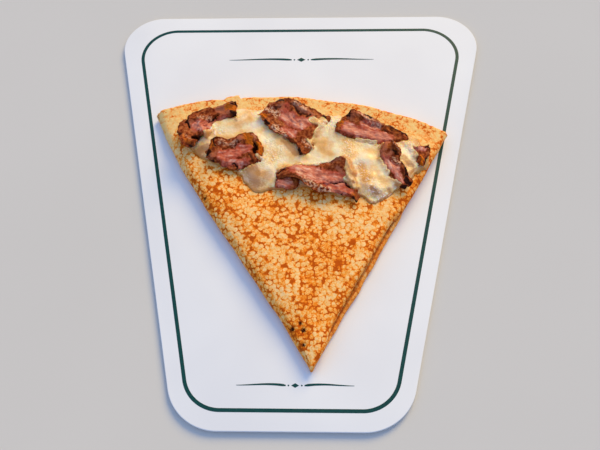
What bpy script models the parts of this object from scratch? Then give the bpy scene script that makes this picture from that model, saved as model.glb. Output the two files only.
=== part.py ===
import bpy
import bmesh
from math import atan, cos, exp, floor, pi, sin, sqrt
from mathutils import Vector, noise
from mathutils.bvhtree import BVHTree

# A savoury crepe folded to a wedge and topped with melted cheese and sliced roast beef,
# on its own tapered board. The origin is the middle of the board's underside, with the
# board's wide end and the crepe's rim towards +Y, and every length is in metres.
MM = 0.001
GAP = 0.35 * MM

# Board: a flat tapered plate of pressed melamine with four rounded corners.
# The two widths are those of its end edges carried on to where they meet the sides.
PLATE_LENGTH = 280 * MM
PLATE_WIDTH_WIDE_END = 244.2 * MM
PLATE_WIDTH_NARROW_END = 120.4 * MM
PLATE_RADIUS_WIDE_END = 25 * MM
PLATE_RADIUS_NARROW_END = 28 * MM
PLATE_THICKNESS = 3 * MM
PLATE_TOP_BEVEL = 0.4 * MM
PLATE_UNDERCUT = 2.2 * MM
PLATE_SIDE_HEIGHT = 0.7 * MM
PLATE_CORNER_STEPS = 10

# Crepe: a round pancake folded in half and then in three, so that six layers meet at the tip.
# The left side is one thick fold and the right side shows two folds, one on the other.
CREPE_TIP = Vector((10.8 * MM, -106.5 * MM))
CREPE_LEFT_CORNER = Vector((-88.3 * MM, 55.9 * MM))
CREPE_RIGHT_CORNER = Vector((91.2 * MM, 39.6 * MM))
CREPE_THICKNESS = 10.6 * MM
CREPE_TIP_THICKNESS = 8.8 * MM
CREPE_RIM_THICKNESS = 8.6 * MM
CREPE_TIP_HALF_WIDTH = 1.6 * MM
CREPE_TIP_ROUND = 1.6 * MM
CREPE_RIM_RISE = 18.0 * MM
CREPE_LEFT_BOW = 3.9 * MM
CREPE_RIGHT_BOW = 0.7 * MM
CREPE_EDGE_WOBBLE = 0.7 * MM
CREPE_SWELL = 0.55 * MM
CREPE_SWELL_SPACING = 34 * MM
CREPE_COLUMNS = 21
CREPE_ROWS = 34
CREPE_ROW_CROWDING = 0.9
CREPE_SIDE_STEPS = 12
CREPE_CORNER_BLEND = 6 * MM
CREPE_TIP_PART = 0.4
CREPE_RIM_PART = 0.14

# How the top falls away beside each side: the width of the fall and its depth
LEFT_FALL = (14 * MM, 2.4 * MM)
RIGHT_FALL = (9 * MM, 1.2 * MM)

# Each side is a stack of rounded edges: the depth of the rounding between two edges
# and each edge's share of the thickness, from the top one down
LEFT_FOLD = dict(depth=4.2 * MM, shares=(1.0,))
RIGHT_FOLD = dict(depth=2.2 * MM, shares=(0.56, 0.44))
TIP_FOLD = dict(depth=2.0 * MM, shares=(0.55, 0.45))
RIM_EDGE = dict(depth=1.5 * MM, shares=(0.3, 0.36, 0.34))

# The lower fold of the right side shows past the upper one between these parts of its length
PEEK_DEPTH = 2.3 * MM
PEEK_START = 0.05
PEEK_END = 0.66
PEEK_FADE = 0.10
LOWER_BULGE = 0.8 * MM
LOWER_BULGE_AT = 0.30
LOWER_BULGE_HALF_WIDTH = 0.03
UPPER_OVERHANG = 0.9 * MM

# The rim's layers end unevenly, and one small flap stands out past them
RIM_RAGGED = 1.3 * MM
RIM_RAGGED_ACROSS = 9.0
FLAP_START = 0.218
FLAP_END = 0.274
FLAP_EDGE = 0.006
FLAP_REACH = 2.3 * MM

# Melted cheese: a sheet along a curved line from left to right, with its reach towards
# the rim and towards the tip at even steps along that line
CHEESE_START = Vector((-69.0 * MM, 36.8 * MM))
CHEESE_END = Vector((78.4 * MM, 16.7 * MM))
CHEESE_BOW = 7.0 * MM
CHEESE_TO_RIM = [3.0, 11.0, 15.0, 19.5, 20.0, 24.0, 20.0, 18.0, 21.0, 15.5, 12.5, 14.0, 14.0, 3.5]
CHEESE_TO_TIP = [3.0, 17.0, 22.0, 24.0, 39.0, 39.0, 36.5, 34.0, 35.5, 37.0, 36.0, 36.5, 24.0, 4.0]
CHEESE_THICKNESS = 2.5 * MM
CHEESE_EDGE_THICKNESS = 1.1 * MM
CHEESE_SHOULDER = 9 * MM
CHEESE_LUMP = 0.8 * MM
CHEESE_LUMP_SPACING = 17 * MM
CHEESE_COLUMNS = 36
CHEESE_ROWS = 12
CHEESE_CLEARANCE_REACH = 1.5 * MM
LIP = 0.4 * MM

# Roast beef: thin folded slices. Each is a strip from start to end with a sideways bow.
# left and right are its reach to each side at even steps along it, and lift, left_lift and
# right_lift are how far its middle and its two edges stand up there. All are in millimetres.
BEEF_THICKNESS = 2.2 * MM
BEEF_EDGE_THICKNESS = 1.3 * MM
BEEF_SETTLE = 1.2 * MM
BEEF_CRINKLE = 0.5 * MM
BEEF_CRINKLE_SPACING = 6 * MM
BEEF_STEPS_ALONG = 14
BEEF_STEPS_ACROSS = 7
BEEF_CLEARANCE_REACH = 2 * MM
BEEF_EDGE_PART = 0.33
BEEF_END_PART = 0.07
BEEF_SLICES = {
    "beef_upper_left": dict(
        start=(-63.0, 24.2), end=(-36.6, 51.6), bow=9.5,
        left=(4.0, 8.0, 8.5, 5.5, 3.5, 5.0), right=(3.0, 7.5, 8.5, 5.5, 4.5, 4.0),
        lift=(2.5, 1.5, 0.6, 0.8, 1.2, 3.0), left_lift=(4.5, 4.0, 2.6, 3.4, 3.8, 5.0),
        right_lift=(4.5, 3.4, 1.0, 0.3, 0.4, 2.0)),
    "beef_lower_left": dict(
        start=(-52.4, 18.7), end=(-19.7, 19.2), bow=2.0,
        left=(2.0, 9.0, 8.4, 12.0, 11.0, 4.0), right=(1.5, 6.0, 10.0, 11.0, 9.5, 4.0),
        lift=(2.0, 1.6, 0.8, 1.4, 3.4, 2.0), left_lift=(2.5, 5.0, 3.0, 4.0, 5.6, 3.0),
        right_lift=(1.5, 0.6, 0.4, 0.4, 0.5, 1.0)),
    "beef_upper_middle": dict(
        start=(-20.7, 49.9), end=(6.4, 20.2), bow=2.5,
        left=(8.0, 14.5, 17.5, 19.2, 20.5, 22.5, 25.0, 25.5, 13.0, 7.5, 3.5),
        right=(3.0, 5.9, 6.4, 3.4, 1.6, 1.4),
        lift=(2.2, 1.2, 0.8, 1.0, 1.4, 1.2), left_lift=(3.0, 4.6, 3.0, 1.0, 0.8, 1.0),
        right_lift=(3.4, 3.2, 2.6, 1.6, 1.6, 2.2)),
    "beef_upper_right": dict(
        start=(24.0, 38.2), end=(66.5, 32.8), bow=1.0,
        left=(3.0, 11.5, 10.0, 6.5, 4.0, 1.5), right=(3.0, 6.0, 7.0, 8.5, 6.5, 1.5),
        lift=(2.4, 1.6, 0.8, 0.6, 0.4, 0.3), left_lift=(3.6, 5.2, 2.8, 1.8, 0.8, 0.4),
        right_lift=(2.6, 0.8, 0.4, 0.6, 0.4, 0.3)),
    "beef_lower_middle": dict(
        start=(-10.6, 4.2), end=(36.2, -10.4), bow=7.5,
        left=(3.6, 4.8, 6.5, 9.5, 13.5, 6.0, 1.5), right=(2.4, 3.6, 7.5, 10.5, 9.0, 4.5, 1.5),
        lift=(2.0, 4.6, 2.0, 1.0, 1.6, 0.8, 0.3), left_lift=(1.0, 3.6, 1.0, 1.8, 7.0, 3.0, 0.4),
        right_lift=(1.5, 5.5, 3.4, 2.2, 2.6, 1.2, 0.4)),
    "beef_lower_scrap": dict(
        start=(-10.6, -1.2), end=(1.4, -2.0), bow=0.4,
        left=(1.8, 2.8, 1.6), right=(2.0, 3.2, 1.6),
        lift=(0.2, 0.4, 0.2), left_lift=(0.0, 0.2, 0.0), right_lift=(0.2, 0.4, 0.2)),
    "beef_right": dict(
        start=(54.8, 26.6), end=(64.9, -1.6), bow=-3.4,
        left=(2.4, 5.6, 5.0, 5.0, 4.0, 2.6), right=(3.0, 5.6, 5.0, 4.0, 3.6, 3.4),
        lift=(4.0, 3.2, 1.2, 1.2, 1.2, 1.4), left_lift=(4.6, 5.0, 3.4, 3.6, 2.6, 2.2),
        right_lift=(3.8, 3.0, 0.8, 0.3, 0.3, 0.8)),
    "beef_far_right": dict(
        start=(74.5, 25.7), end=(72.7, 12.4), bow=0.6,
        left=(4.4, 4.0, 2.4, 1.2), right=(4.4, 4.0, 3.2, 1.2),
        lift=(1.6, 1.0, 0.8, 0.6), left_lift=(2.6, 1.8, 1.2, 0.6), right_lift=(1.4, 0.8, 0.6, 0.4)),
}

PLATE_LOOK = dict(colour=(0.80, 0.83, 0.87, 1), roughness=0.35)
CREPE_LOOK = dict(colour=(0.72, 0.42, 0.15, 1), roughness=0.7)
CHEESE_LOOK = dict(colour=(0.78, 0.63, 0.36, 1), roughness=0.28)
BEEF_LOOK = dict(colour=(0.32, 0.13, 0.10, 1), roughness=0.45)


def clear_scene():
    for item in list(bpy.data.objects):
        bpy.data.objects.remove(item)


def make_material(name, look):
    material = bpy.data.materials.new(name)
    material.use_nodes = True
    shader = material.node_tree.nodes["Principled BSDF"]
    shader.inputs["Base Color"].default_value = look["colour"]
    shader.inputs["Roughness"].default_value = look["roughness"]
    shader.inputs["Metallic"].default_value = 0.0
    return material


def add_solid(name, points, faces, look):
    mesh = bpy.data.meshes.new(name)
    mesh.from_pydata(points, [], faces)
    shape = bmesh.new()
    shape.from_mesh(mesh)
    bmesh.ops.triangulate(shape, faces=shape.faces[:], ngon_method='EAR_CLIP')
    bmesh.ops.recalc_face_normals(shape, faces=shape.faces[:])
    shape.to_mesh(mesh)
    shape.free()
    mesh.shade_smooth()
    mesh.materials.append(make_material(name, look))
    item = bpy.data.objects.new(name, mesh)
    bpy.context.collection.objects.link(item)
    return item


def smooth_step(x):
    x = min(max(x, 0.0), 1.0)
    return x * x * (3 - 2 * x)


def bell(x):
    return exp(-x * x)


def curve_value(values, u):
    """The value at u, from 0 to 1, of a smooth curve through evenly spaced values."""
    place = min(max(u, 0.0), 1.0) * (len(values) - 1)
    i = min(int(place), len(values) - 2)
    v = place - i
    before = values[max(i - 1, 0)]
    here, after = values[i], values[i + 1]
    beyond = values[min(i + 2, len(values) - 1)]
    slope_here = (after - before) / 2
    slope_after = (beyond - here) / 2
    return (here * (1 + 2 * v) * (1 - v) ** 2 + after * v * v * (3 - 2 * v)
            + slope_here * v * (1 - v) ** 2 - slope_after * v * v * (1 - v))


def left_normal(direction):
    return Vector((-direction.y, direction.x)).normalized()


def skin_between(rings, faces):
    """Faces between each ring of point numbers and the next one."""
    for ring, following in zip(rings, rings[1:]):
        count = len(ring)
        for i in range(count):
            j = (i + 1) % count
            faces.append((ring[i], ring[j], following[j], following[i]))


def grid_border(columns, rows):
    """The column and row of each border point of a grid, in order around it."""
    border = [(i, rows) for i in range(columns)]
    border += [(columns, j) for j in range(rows, 0, -1)]
    border += [(i, 0) for i in range(columns, 0, -1)]
    border += [(0, j) for j in range(rows)]
    return border


def plate_outline(inset):
    """The plate's outline moved in by an inset that keeps the corners' centres."""
    half_length = PLATE_LENGTH / 2
    lean = (PLATE_WIDTH_WIDE_END - PLATE_WIDTH_NARROW_END) / 2 / PLATE_LENGTH
    secant = sqrt(1 + lean * lean)
    side_angle = -atan(lean)
    points = []
    corners = ((1, PLATE_RADIUS_WIDE_END), (-1, PLATE_RADIUS_NARROW_END))
    for end, radius in corners:
        centre_y = end * (half_length - radius)
        half_width = PLATE_WIDTH_NARROW_END / 2 + lean * (centre_y + half_length)
        centre_x = half_width - radius * secant
        first = pi / 2 if end > 0 else side_angle
        last = side_angle if end > 0 else -pi / 2
        for k in range(PLATE_CORNER_STEPS + 1):
            angle = first + (last - first) * k / PLATE_CORNER_STEPS
            reach = radius - inset
            points.append((centre_x + reach * cos(angle), centre_y + reach * sin(angle)))
    return points + [(-x, y) for x, y in reversed(points)]


def make_plate():
    side_low = PLATE_THICKNESS - PLATE_TOP_BEVEL - PLATE_SIDE_HEIGHT
    profile = [(PLATE_UNDERCUT, 0.0), (0.0, side_low),
               (0.0, PLATE_THICKNESS - PLATE_TOP_BEVEL), (PLATE_TOP_BEVEL, PLATE_THICKNESS)]
    points, faces, rings = [], [], []
    for inset, height in profile:
        outline = plate_outline(inset)
        rings.append(range(len(points), len(points) + len(outline)))
        points += [(x, y, height) for x, y in outline]
    skin_between(rings, faces)
    faces.append(tuple(rings[0]))
    faces.append(tuple(reversed(rings[-1])))
    return add_solid("plate", points, faces, PLATE_LOOK)


def crepe_side(corner, hand, bow, t):
    """A point of the left (hand 1) or right (hand -1) side at t, from tip to corner."""
    run = corner - CREPE_TIP
    outward = left_normal(run) * hand
    wobble = CREPE_EDGE_WOBBLE * noise.noise(Vector((t * 11, hand * 7.3, 2.1)))
    swing = bow * sin(pi * t ** 1.8) if t < 1 else 0.0
    return CREPE_TIP + run * t + outward * (swing + wobble + CREPE_TIP_HALF_WIDTH * (1 - t) ** 3)


def crepe_width(t):
    left = crepe_side(CREPE_LEFT_CORNER, 1, CREPE_LEFT_BOW, t)
    right = crepe_side(CREPE_RIGHT_CORNER, -1, CREPE_RIGHT_BOW, t)
    return (right - left).length


def crepe_length():
    return ((CREPE_LEFT_CORNER + CREPE_RIGHT_CORNER) / 2 - CREPE_TIP).length + CREPE_RIM_RISE


def crepe_point(s, t):
    """A point of the wedge: s runs from the left side to the right, t from tip to rim."""
    inside = min(max(t, 0.0), 1.0)
    left = crepe_side(CREPE_LEFT_CORNER, 1, CREPE_LEFT_BOW, inside)
    right = crepe_side(CREPE_RIGHT_CORNER, -1, CREPE_RIGHT_BOW, inside)
    outward = left_normal(CREPE_RIGHT_CORNER - CREPE_LEFT_CORNER)
    rise = CREPE_RIM_RISE * inside - CREPE_TIP_ROUND * (1 - inside) ** 8
    past = (t - inside) * crepe_length()
    return left.lerp(right, s) + outward * (rise * 4 * s * (1 - s) + past)


def stack_edge(fold, u, offsets):
    """Inset and height share at u, from the top (0) to the bottom (1) of stacked edges."""
    shares = fold["shares"]
    place = min(u * len(shares), len(shares) - 1e-9)
    level = int(floor(place))
    v = place - level
    offset = offsets[level]
    if v == 0 and level > 0:
        offset = max(offsets[level - 1], offset)
    above = sum(shares[:level])
    inset = fold["depth"] * (1 - sin(pi * v)) + offset
    return inset, 1 - above - shares[level] * (1 - cos(pi * v)) / 2


def right_offsets(t):
    peek = smooth_step((t - PEEK_START) / PEEK_FADE) * smooth_step((PEEK_END - t) / PEEK_FADE)
    bulge = LOWER_BULGE * bell((t - LOWER_BULGE_AT) / LOWER_BULGE_HALF_WIDTH)
    return PEEK_DEPTH * peek, UPPER_OVERHANG * (1 - peek) - bulge


def rim_offsets(s):
    flap = smooth_step((s - FLAP_START) / FLAP_EDGE) * smooth_step((FLAP_END - s) / FLAP_EDGE)
    ragged = [RIM_RAGGED * noise.noise(Vector((s * RIM_RAGGED_ACROSS, level * 5.7, 0.4)))
              for level in range(len(RIM_EDGE["shares"]))]
    ragged[0] -= FLAP_REACH * flap
    ragged[1] -= FLAP_REACH * flap / 2
    return ragged


def crepe_edge_place(s, t, u):
    """Where border point (s, t) lies at u down the side, and its share of the height there."""
    left, left_share = stack_edge(LEFT_FOLD, u, (0.0,))
    right, right_share = stack_edge(RIGHT_FOLD, u, right_offsets(t))
    tip, tip_share = stack_edge(TIP_FOLD, u, (0.0, 0.0))
    rim, rim_share = stack_edge(RIM_EDGE, u, rim_offsets(s))
    length = crepe_length()
    t_in = tip / length + t * (1 - (tip + rim) / length)
    room = crepe_width(min(t_in, 1.0)) + left + right
    s_in = left / room + s * (1 - (left + right) / room)
    width = crepe_width(min(t_in, 1.0))
    distances = (s * width, (1 - s) * width, t * length, (1 - t) * length)
    weights = [bell(distance / CREPE_CORNER_BLEND) for distance in distances]
    shares = (left_share, right_share, tip_share, rim_share)
    share = sum(w * f for w, f in zip(weights, shares)) / sum(weights)
    return s_in, t_in, share


def crepe_rise(s, t):
    """Height of the crepe's top over its underside."""
    width = crepe_width(min(max(t, 0.0), 1.0))
    rise = CREPE_THICKNESS
    rise -= (CREPE_THICKNESS - CREPE_TIP_THICKNESS) * (1 - smooth_step(t / CREPE_TIP_PART))
    rise -= (CREPE_THICKNESS - CREPE_RIM_THICKNESS) * smooth_step((t - 1) / CREPE_RIM_PART + 1)
    for distance, (reach, depth) in ((s * width, LEFT_FALL), ((1 - s) * width, RIGHT_FALL)):
        rise -= depth * (1 - min(max(distance / reach, 0.0), 1.0)) ** 2
    place = crepe_point(s, t) / CREPE_SWELL_SPACING
    return rise + CREPE_SWELL * noise.noise(Vector((place.x, place.y, 4.2)))


def crepe_columns():
    even = [i / CREPE_COLUMNS for i in range(CREPE_COLUMNS + 1)]
    flap = [FLAP_START, FLAP_START + FLAP_EDGE, FLAP_END - FLAP_EDGE, FLAP_END]
    spare = 0.4 / CREPE_COLUMNS
    clear = [s for s in even if all(abs(s - f) > spare for f in flap)]
    return sorted(clear + flap)


def make_crepe():
    columns = crepe_columns()
    rows = [(j / CREPE_ROWS) ** CREPE_ROW_CROWDING for j in range(CREPE_ROWS + 1)]
    base = PLATE_THICKNESS + GAP
    points, faces, number = [], [], {}
    for j, t in enumerate(rows):
        for i, s in enumerate(columns):
            s_in, t_in = crepe_edge_place(s, t, 0.0)[:2]
            x, y = crepe_point(s_in, t_in)
            number[i, j] = len(points)
            points.append((x, y, base + crepe_rise(s_in, t_in)))
    for j in range(len(rows) - 1):
        for i in range(len(columns) - 1):
            faces.append((number[i, j], number[i + 1, j], number[i + 1, j + 1], number[i, j + 1]))
    border = grid_border(len(columns) - 1, len(rows) - 1)
    rings = [[number[place] for place in border]]
    for k in range(1, CREPE_SIDE_STEPS + 1):
        ring = []
        for i, j in border:
            s_in, t_in, share = crepe_edge_place(columns[i], rows[j], k / CREPE_SIDE_STEPS)
            x, y = crepe_point(s_in, t_in)
            ring.append(len(points))
            points.append((x, y, base + crepe_rise(s_in, t_in) * share))
        rings.append(ring)
    skin_between(rings, faces)
    faces.append(tuple(rings[-1]))
    return add_solid("crepe", points, faces, CREPE_LOOK)


def surface_tree(items):
    points, faces = [], []
    for item in items:
        start = len(points)
        points += [vertex.co.copy() for vertex in item.data.vertices]
        faces += [[start + i for i in face.vertices] for face in item.data.polygons]
    return BVHTree.FromPolygons(points, faces)


def top_at(tree, x, y, reach):
    """The highest surface under a point and under eight points around it."""
    high = 100 * MM
    best = PLATE_THICKNESS
    ring = [(reach * cos(pi * k / 4), reach * sin(pi * k / 4)) for k in range(8)]
    for dx, dy in [(0.0, 0.0)] + ring:
        hit = tree.ray_cast(Vector((x + dx, y + dy, high)), Vector((0, 0, -1)))[0]
        if hit:
            best = max(best, hit.z)
    return best


def strip_point(start, end, bow, left, right, u, v):
    """A point of a bowed strip: u along it, v from its left edge (1) to its right edge (-1)."""
    run = end - start
    sideways = left_normal(run)
    spine = start + run * u + sideways * bow * 4 * u * (1 - u)
    slope = (run - sideways * bow * 4 * (2 * u - 1)).normalized()
    reach = left * v if v > 0 else right * v
    return spine + left_normal(slope) * reach


def cheese_place(u, v):
    to_rim = curve_value(CHEESE_TO_RIM, u) * MM
    to_tip = curve_value(CHEESE_TO_TIP, u) * MM
    return strip_point(CHEESE_START, CHEESE_END, CHEESE_BOW, to_rim, to_tip, u, v)


def cheese_thickness(place, u, v):
    to_edge = min(u, 1 - u) * (CHEESE_END - CHEESE_START).length
    side = curve_value(CHEESE_TO_RIM if v > 0 else CHEESE_TO_TIP, u) * MM
    to_edge = min(to_edge, (1 - abs(v)) * side)
    grown = sqrt(smooth_step(to_edge / CHEESE_SHOULDER))
    spot = place / CHEESE_LUMP_SPACING
    lump = CHEESE_LUMP * noise.noise(Vector((spot.x, spot.y, 8.8)))
    return CHEESE_EDGE_THICKNESS + (CHEESE_THICKNESS - CHEESE_EDGE_THICKNESS + lump) * grown


def sheet_faces(columns, rows, top, under, points, faces):
    """Close a top grid and the grid under it with one ring of lip points between them."""
    for grid in (top, under):
        for j in range(rows):
            for i in range(columns):
                faces.append((grid[i, j], grid[i + 1, j], grid[i + 1, j + 1], grid[i, j + 1]))
    border = grid_border(columns, rows)
    middle = Vector((0, 0, 0))
    for place in border:
        middle += Vector(points[top[place]]) / len(border)
    rings = [[top[place] for place in border], [], [under[place] for place in border]]
    for place in border:
        high = Vector(points[top[place]])
        low = Vector(points[under[place]])
        outward = (high - middle)
        outward.z = 0
        outward.normalize()
        rings[1].append(len(points))
        points.append(tuple((high + low) / 2 + outward * LIP))
    skin_between(rings, faces)


def make_cheese(crepe):
    tree = surface_tree([crepe])
    points, faces, top, under = [], [], {}, {}
    for j in range(CHEESE_ROWS + 1):
        for i in range(CHEESE_COLUMNS + 1):
            u = i / CHEESE_COLUMNS
            v = sin(pi / 2 * (2 * j / CHEESE_ROWS - 1))
            place = cheese_place(u, v)
            floor_height = top_at(tree, place.x, place.y, CHEESE_CLEARANCE_REACH) + GAP
            thickness = cheese_thickness(place, u, v)
            under[i, j] = len(points)
            points.append((place.x, place.y, floor_height))
            top[i, j] = len(points)
            points.append((place.x, place.y, floor_height + thickness))
    sheet_faces(CHEESE_COLUMNS, CHEESE_ROWS, top, under, points, faces)
    return add_solid("melted_cheese", points, faces, CHEESE_LOOK)


def make_slice(name, shape, tree, seed):
    start = Vector(shape["start"]) * MM
    end = Vector(shape["end"]) * MM
    points, faces, top, under = [], [], {}, {}
    for j in range(BEEF_STEPS_ACROSS + 1):
        v = 2 * j / BEEF_STEPS_ACROSS - 1
        for i in range(BEEF_STEPS_ALONG + 1):
            u = i / BEEF_STEPS_ALONG
            left = curve_value(shape["left"], u) * MM
            right = curve_value(shape["right"], u) * MM
            place = strip_point(start, end, shape["bow"] * MM, left, right, u, v)
            edge = curve_value(shape["left_lift" if v > 0 else "right_lift"], u) * MM
            middle = curve_value(shape["lift"], u) * MM
            lift = middle + (edge - middle) * v * v - BEEF_SETTLE
            spot = place / BEEF_CRINKLE_SPACING
            lift += BEEF_CRINKLE * (1 + noise.noise(Vector((spot.x, spot.y, seed))))
            low = top_at(tree, place.x, place.y, BEEF_CLEARANCE_REACH) + GAP + max(lift, 0.0)
            inward = min(min(u, 1 - u) / BEEF_END_PART, (1 - abs(v)) / BEEF_EDGE_PART)
            thick = BEEF_EDGE_THICKNESS
            thick += (BEEF_THICKNESS - BEEF_EDGE_THICKNESS) * smooth_step(inward)
            under[i, j] = len(points)
            points.append((place.x, place.y, low))
            top[i, j] = len(points)
            points.append((place.x, place.y, low + thick))
    sheet_faces(BEEF_STEPS_ALONG, BEEF_STEPS_ACROSS, top, under, points, faces)
    return add_solid(name, points, faces, BEEF_LOOK)


def make_beef(crepe, cheese):
    tree = surface_tree([crepe, cheese])
    for seed, (name, shape) in enumerate(BEEF_SLICES.items()):
        make_slice(name, shape, tree, seed * 3.7)


clear_scene()
make_plate()
folded_crepe = make_crepe()
melted_cheese = make_cheese(folded_crepe)
make_beef(folded_crepe, melted_cheese)
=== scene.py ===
from math import atan, cos, pi, radians, sin, sqrt

import bmesh
import bpy
import numpy as np
from mathutils import Matrix, Vector, noise
from mathutils.bvhtree import BVHTree


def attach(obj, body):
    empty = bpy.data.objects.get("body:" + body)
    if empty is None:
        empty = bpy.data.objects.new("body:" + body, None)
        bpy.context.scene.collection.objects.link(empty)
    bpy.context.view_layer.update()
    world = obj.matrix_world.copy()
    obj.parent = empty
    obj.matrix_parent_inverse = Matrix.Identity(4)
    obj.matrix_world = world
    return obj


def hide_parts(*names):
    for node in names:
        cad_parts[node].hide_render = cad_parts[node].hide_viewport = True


# A folded crepe with melted cheese and sliced roast beef, on its own tapered board.
# Shapes are worked out in millimetres and turned to metres as each mesh is made.
# x runs to the right, y towards the board's wide end and z up from its underside.
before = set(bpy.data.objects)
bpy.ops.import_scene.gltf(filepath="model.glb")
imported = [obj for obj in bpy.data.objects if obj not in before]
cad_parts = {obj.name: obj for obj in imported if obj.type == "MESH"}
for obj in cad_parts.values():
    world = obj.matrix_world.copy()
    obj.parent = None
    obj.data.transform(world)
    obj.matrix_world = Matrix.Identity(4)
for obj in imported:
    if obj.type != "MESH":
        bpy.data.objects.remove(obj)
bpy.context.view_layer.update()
mm = 0.001
noise.seed_set(1)  # noise_vector's offsets would otherwise come from the clock


# Small helpers

def hexToLinear(code):
    channels = [int(code[i:i + 2], 16) / 255 for i in (1, 3, 5)]
    return [c / 12.92 if c <= 0.04045 else ((c + 0.055) / 1.055) ** 2.4 for c in channels] + [1.0]


def addNode(material, kind, settings=None, links=None):
    # A node with its settings (inputs by name or number, or attributes) and its links, which
    # come from an output or from the first output of a node.
    tree = material.node_tree
    node = tree.nodes.new(kind)
    for key, value in (settings or {}).items():
        if key == "stops":  # a colour ramp's places and hex colours
            ramp = node.color_ramp
            while len(ramp.elements) < len(value):
                ramp.elements.new(0.5)
            for element, (place, code) in zip(ramp.elements, value):
                element.position = place
                element.color = hexToLinear(code)
        elif isinstance(key, int) or key in node.inputs:
            node.inputs[key].default_value = value
        else:
            setattr(node, key, value)
    for key, source in (links or {}).items():
        output = source.outputs[0] if isinstance(source, bpy.types.Node) else source
        tree.links.new(output, node.inputs[key])
    return node


def newMaterial(name):
    material = bpy.data.materials.new(name)
    material.use_nodes = True
    material.node_tree.nodes.clear()
    return material


def finishMaterial(material, settings, links):
    shader = addNode(material, "ShaderNodeBsdfPrincipled", settings, links)
    addNode(material, "ShaderNodeOutputMaterial", links={"Surface": shader})
    return material


def layColour(material, under, code, value, start=0.0, full=1.0, most=1.0):
    # Lays a hex colour over another, from none where the value is start to most at full.
    amount = addNode(material, "ShaderNodeMapRange",
                     {"From Min": start, "From Max": full, "To Max": most}, {"Value": value})
    return addNode(material, "ShaderNodeMix", {"data_type": "RGBA", 7: hexToLinear(code)},
                   {0: amount, 6: under}).outputs[2]


def smoothStep(x):
    x = np.clip(x, 0.0, 1.0)
    return x * x * (3 - 2 * x)


def bell(x):
    return np.exp(-np.square(x))


def curveValue(values, u):
    # Values at u, from 0 to 1, of a smooth curve through evenly spaced values.
    values = np.asarray(values, float)
    place = np.clip(u, 0.0, 1.0) * (len(values) - 1)
    i = np.minimum(place.astype(int), len(values) - 2)
    v = place - i
    before, here = values[np.maximum(i - 1, 0)], values[i]
    after, beyond = values[i + 1], values[np.minimum(i + 2, len(values) - 1)]
    slopeHere, slopeAfter = (after - before) / 2, (beyond - here) / 2
    return (here * (1 + 2 * v) * (1 - v) ** 2 + after * v * v * (3 - 2 * v)
            + slopeHere * v * (1 - v) ** 2 - slopeAfter * v * v * (1 - v))


def noiseAt(points, size, seed=0.0):
    # Soft noise, about -1 to 1, with features of the given size in millimetres.
    offset = Vector((seed * 17.3, seed * 5.1, seed * 9.7))
    return np.array([noise.noise(Vector(p) / size + offset) for p in points])


def noisePair(points, size, seed):
    return np.column_stack([noiseAt(points, size, seed), noiseAt(points, size, seed + 1)])


def layeredNoise(points, size, seed=0.0, octaves=3):
    total = np.zeros(len(points))
    for k in range(octaves):
        total += noiseAt(points, size / 2 ** k, seed + k) / 2 ** k
    return total


def cellsAt(points, size, warp, seed=0.0):
    # Distance to the wall between rounded cells of about the given size, in cell widths.
    walls = np.zeros(len(points))
    offset = Vector((seed * 3.1, seed * 7.7, seed * 1.3))
    for n, p in enumerate(points):
        q = Vector(p) / size + offset
        q += warp * noise.noise_vector(q * 1.7)
        distances = noise.voronoi(q)[0]
        walls[n] = distances[1] - distances[0]
    return walls


def addMesh(name, points, faces, material, attributes=None, sharpAngle=None, closed=True):
    # A smooth mesh from points in millimetres, with named values at its points. A closed one
    # is made to face outwards. Edges past a sharp angle, in degrees, stay sharp.
    mesh = bpy.data.meshes.new(name)
    mesh.from_pydata((np.asarray(points) * mm).tolist(), [], faces)
    mesh.validate()
    mesh.shade_smooth()
    mesh.materials.append(material)
    piece = bpy.data.objects.new(name, mesh)
    for key, values in (attributes or {}).items():
        storeValues(piece, key, values)
    bpy.context.scene.collection.objects.link(piece)
    if closed:
        faceOutwards(piece)
    if sharpAngle:
        piece.data.set_sharp_from_angle(angle=radians(sharpAngle))
    return piece


def storeValues(piece, key, values):
    layer = piece.data.attributes.new(key, "FLOAT", "POINT")
    layer.data.foreach_set("value", np.asarray(values, np.float32))


def vertexNormals(piece):
    normals = np.zeros(len(piece.data.vertices) * 3, np.float32)
    piece.data.vertices.foreach_get("normal", normals)
    return normals.reshape(-1, 3)


def faceOutwards(piece):
    shape = bmesh.new()
    shape.from_mesh(piece.data)
    bmesh.ops.recalc_face_normals(shape, faces=shape.faces[:])
    shape.to_mesh(piece.data)
    shape.free()


def pushAlongNormals(piece, distances):
    # Moves each point along its normal by a distance in millimetres.
    places = np.zeros(len(piece.data.vertices) * 3, np.float32)
    piece.data.vertices.foreach_get("co", places)
    places = places.reshape(-1, 3) + vertexNormals(piece) * np.asarray(distances)[:, None] * mm
    piece.data.vertices.foreach_set("co", places.ravel().astype(np.float32))
    piece.data.update()


def skinRings(rings):
    faces = []
    for ring, following in zip(rings, rings[1:]):
        count = len(ring)
        for i in range(count):
            j = (i + 1) % count
            faces.append((ring[i], ring[j], following[j], following[i]))
    return faces


def gridFaces(columns, rows, start=0, flip=False):
    faces = []
    for j in range(rows):
        for i in range(columns):
            a = start + j * (columns + 1) + i
            face = (a, a + 1, a + columns + 2, a + columns + 1)
            faces.append(face[::-1] if flip else face)
    return faces


def gridBorder(columns, rows):
    # The column and row of each border point of a grid, in order around it.
    border = [(i, rows) for i in range(columns)]
    border += [(columns, j) for j in range(rows, 0, -1)]
    border += [(i, 0) for i in range(columns, 0, -1)]
    border += [(0, j) for j in range(rows)]
    return border


# The board: a flat tapered plate with four round corners

board = dict(
    wideY=140, narrowY=-140, wideHalf=122.1, narrowHalf=60.2,  # half widths to the square corners
    wideRadius=25, narrowRadius=28, sharpAngle=30, thickness=3, topBevel=0.4, undercut=2.2,
    sideHeight=0.7, cornerSteps=48)

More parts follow.
